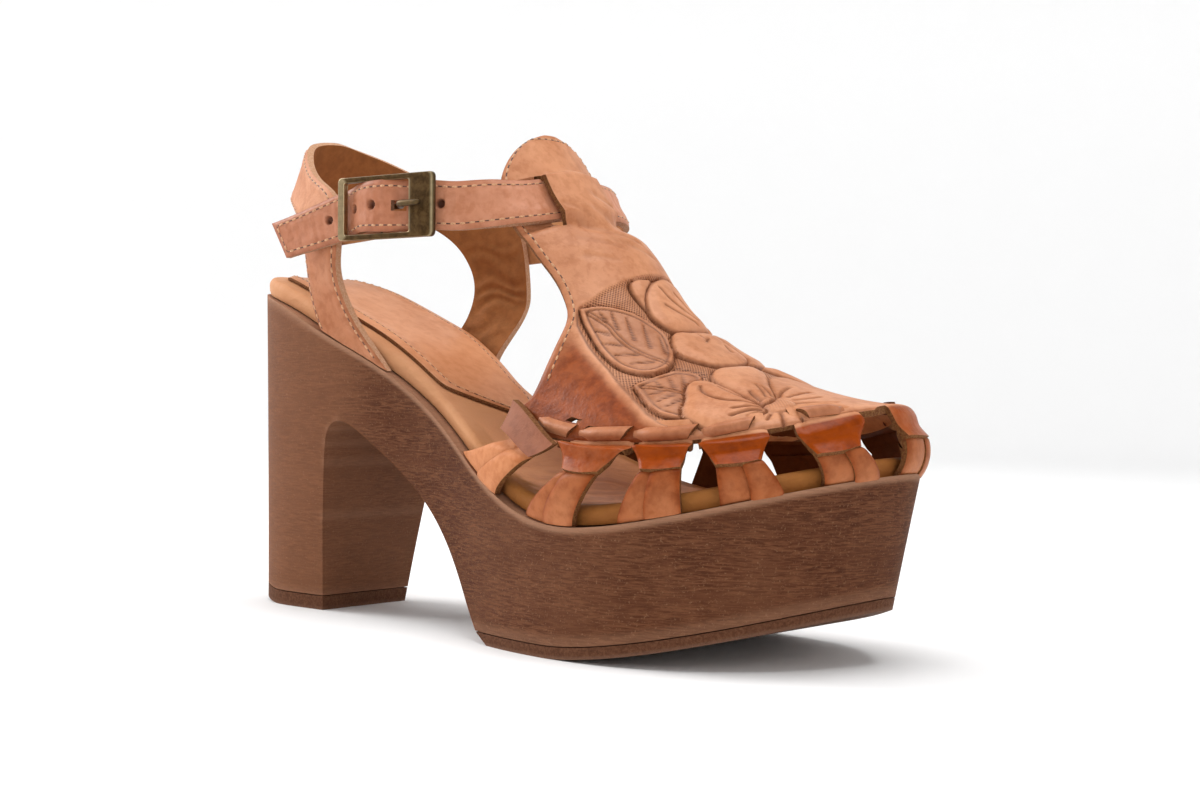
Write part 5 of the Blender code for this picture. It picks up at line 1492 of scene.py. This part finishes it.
inset_col = 5
strap_n = np.broadcast_to(strap_out[:, None], strap.shape)
low_line, top_line = strap_face[:-6, inset_col], strap_face[:-6, -1 - inset_col]
end_line = strap_face[-6, inset_col:-inset_col]
for label, line, out in (("strap_low", low_line, strap_n[:-6, 0]), ("strap_top", top_line, strap_n[:-6, 0]),
                         ("strap_end", end_line, strap_n[-6, inset_col:-inset_col])):
    stitch_row(label, line, out, "ankle_strap")
for label, column in (("quarter_front", 3), ("quarter_rear", -4)):
    stitch_row(label, quarter_face[4:-4, column], quarter_out[4:-4, column], "back_strap")
top_row, side_end = nearest(stations, 0.75), nearest(stations, 11.6)
side_rows = slice(top_row, side_end)
for label, column in (("vamp_outer", 9), ("vamp_inner", -10)):
    stitch_row(label, vamp_face[side_rows, column], vamp_out[side_rows, column], "upper")
middle_cols = slice(10, -10)
stitch_row("tongue_top", vamp_face[top_row, middle_cols], vamp_out[top_row, middle_cols], "upper")
pad_up = np.tile([0.0, 0.0, 1.0], (pad_face.shape[0], 1))
for label, column in (("pad_outer", 4), ("pad_inner", -5)):
    stitch_row(label, pad_face[6:-6, column], pad_up[6:-6], "heel_pad")

# %% [markdown]
# ## Floor and light
# The shoe stands on a pale bowl: a flat floor that curves up into a low wall, so no horizon shows. One
# soft lamp stands beyond the heel, a larger one hangs overhead, a weak one fills the front, and a white
# sky does the rest.

# %% Floor and light
FLOOR_REACH, WALL_HEIGHT, BEND = 1.35, 0.9, 0.45


def bowl(rings=24, spokes=72):
    """Surface of revolution: flat disc, quarter-circle bend, straight wall."""
    bend = np.linspace(0, np.pi / 2, 12)
    disc = np.linspace(0, FLOOR_REACH, rings)[:-1]
    radius = np.concatenate([disc, FLOOR_REACH + BEND * np.sin(bend), [FLOOR_REACH + BEND]])
    height = np.concatenate([np.zeros(rings - 1), BEND * (1 - np.cos(bend)), [BEND + WALL_HEIGHT]])
    turn = np.linspace(0, 2 * np.pi, spokes + 1)
    grid = np.stack([radius[:, None] * np.cos(turn), radius[:, None] * np.sin(turn),
                     np.broadcast_to(height[:, None], (len(radius), spokes + 1))], -1)
    mesh = bpy.data.meshes.new("bowl")
    mesh.from_pydata(grid.reshape(-1, 3).tolist(), [], grid_quads(len(radius), spokes + 1).tolist())
    body = bmesh.new()
    body.from_mesh(mesh)
    bmesh.ops.remove_doubles(body, verts=body.verts, dist=1e-6)
    bmesh.ops.dissolve_degenerate(body, edges=body.edges, dist=1e-7)
    bmesh.ops.recalc_face_normals(body, faces=body.faces)
    body.to_mesh(mesh)
    body.free()
    if sum(p.normal.z for p in mesh.polygons) < 0:
        mesh.flip_normals()
    mesh.polygons.foreach_set("use_smooth", np.ones(len(mesh.polygons), bool))
    return mesh


def soft_lamp(name, place, aim, size, power, tint=(1.0, 1.0, 1.0)):
    """Square area lamp at a place, turned to face the aim point."""
    lamp = bpy.data.lights.new(name, "AREA")
    lamp.shape, lamp.size, lamp.energy, lamp.color = "SQUARE", size, power, tint
    holder = bpy.data.objects.new(name, lamp)
    away = unit(np.array(place, float) - np.array(aim, float))
    side = unit(np.cross((0.0, 0.0, 1.0), away))
    turn = np.eye(4)
    turn[:3, :3] = np.stack([side, np.cross(away, side), away], 1)
    turn[:3, 3] = place
    holder.matrix_world = Matrix(turn.tolist())
    bpy.context.scene.collection.objects.link(holder)
    return holder


floor_paint = Paint("pale_floor", Base_Color=(0.92, 0.92, 0.92, 1.0), Roughness=0.75, Specular_IOR_Level=0.2)
floor = bpy.data.objects.new("floor", bowl())
floor.data.materials.append(floor_paint.material)
bpy.context.scene.collection.objects.link(floor)
soft_lamp("key", (-1.25, -0.3, 0.9), (0.0, 0.0, 0.06), 0.7, 15.0)
soft_lamp("top", (0.1, 0.05, 1.5), (0.0, 0.0, 0.0), 1.1, 19.5)
soft_lamp("front", (0.9, -1.0, 0.5), (0.02, 0.0, 0.06), 0.9, 1.0)
sky = bpy.data.worlds.new("sky")
sky.use_nodes = True
sky.node_tree.nodes["Background"].inputs["Color"].default_value = (1.0, 1.0, 1.0, 1.0)
sky.node_tree.nodes["Background"].inputs["Strength"].default_value = 0.23
bpy.context.scene.world = sky
bpy.context.scene.view_settings.view_transform = "Standard"
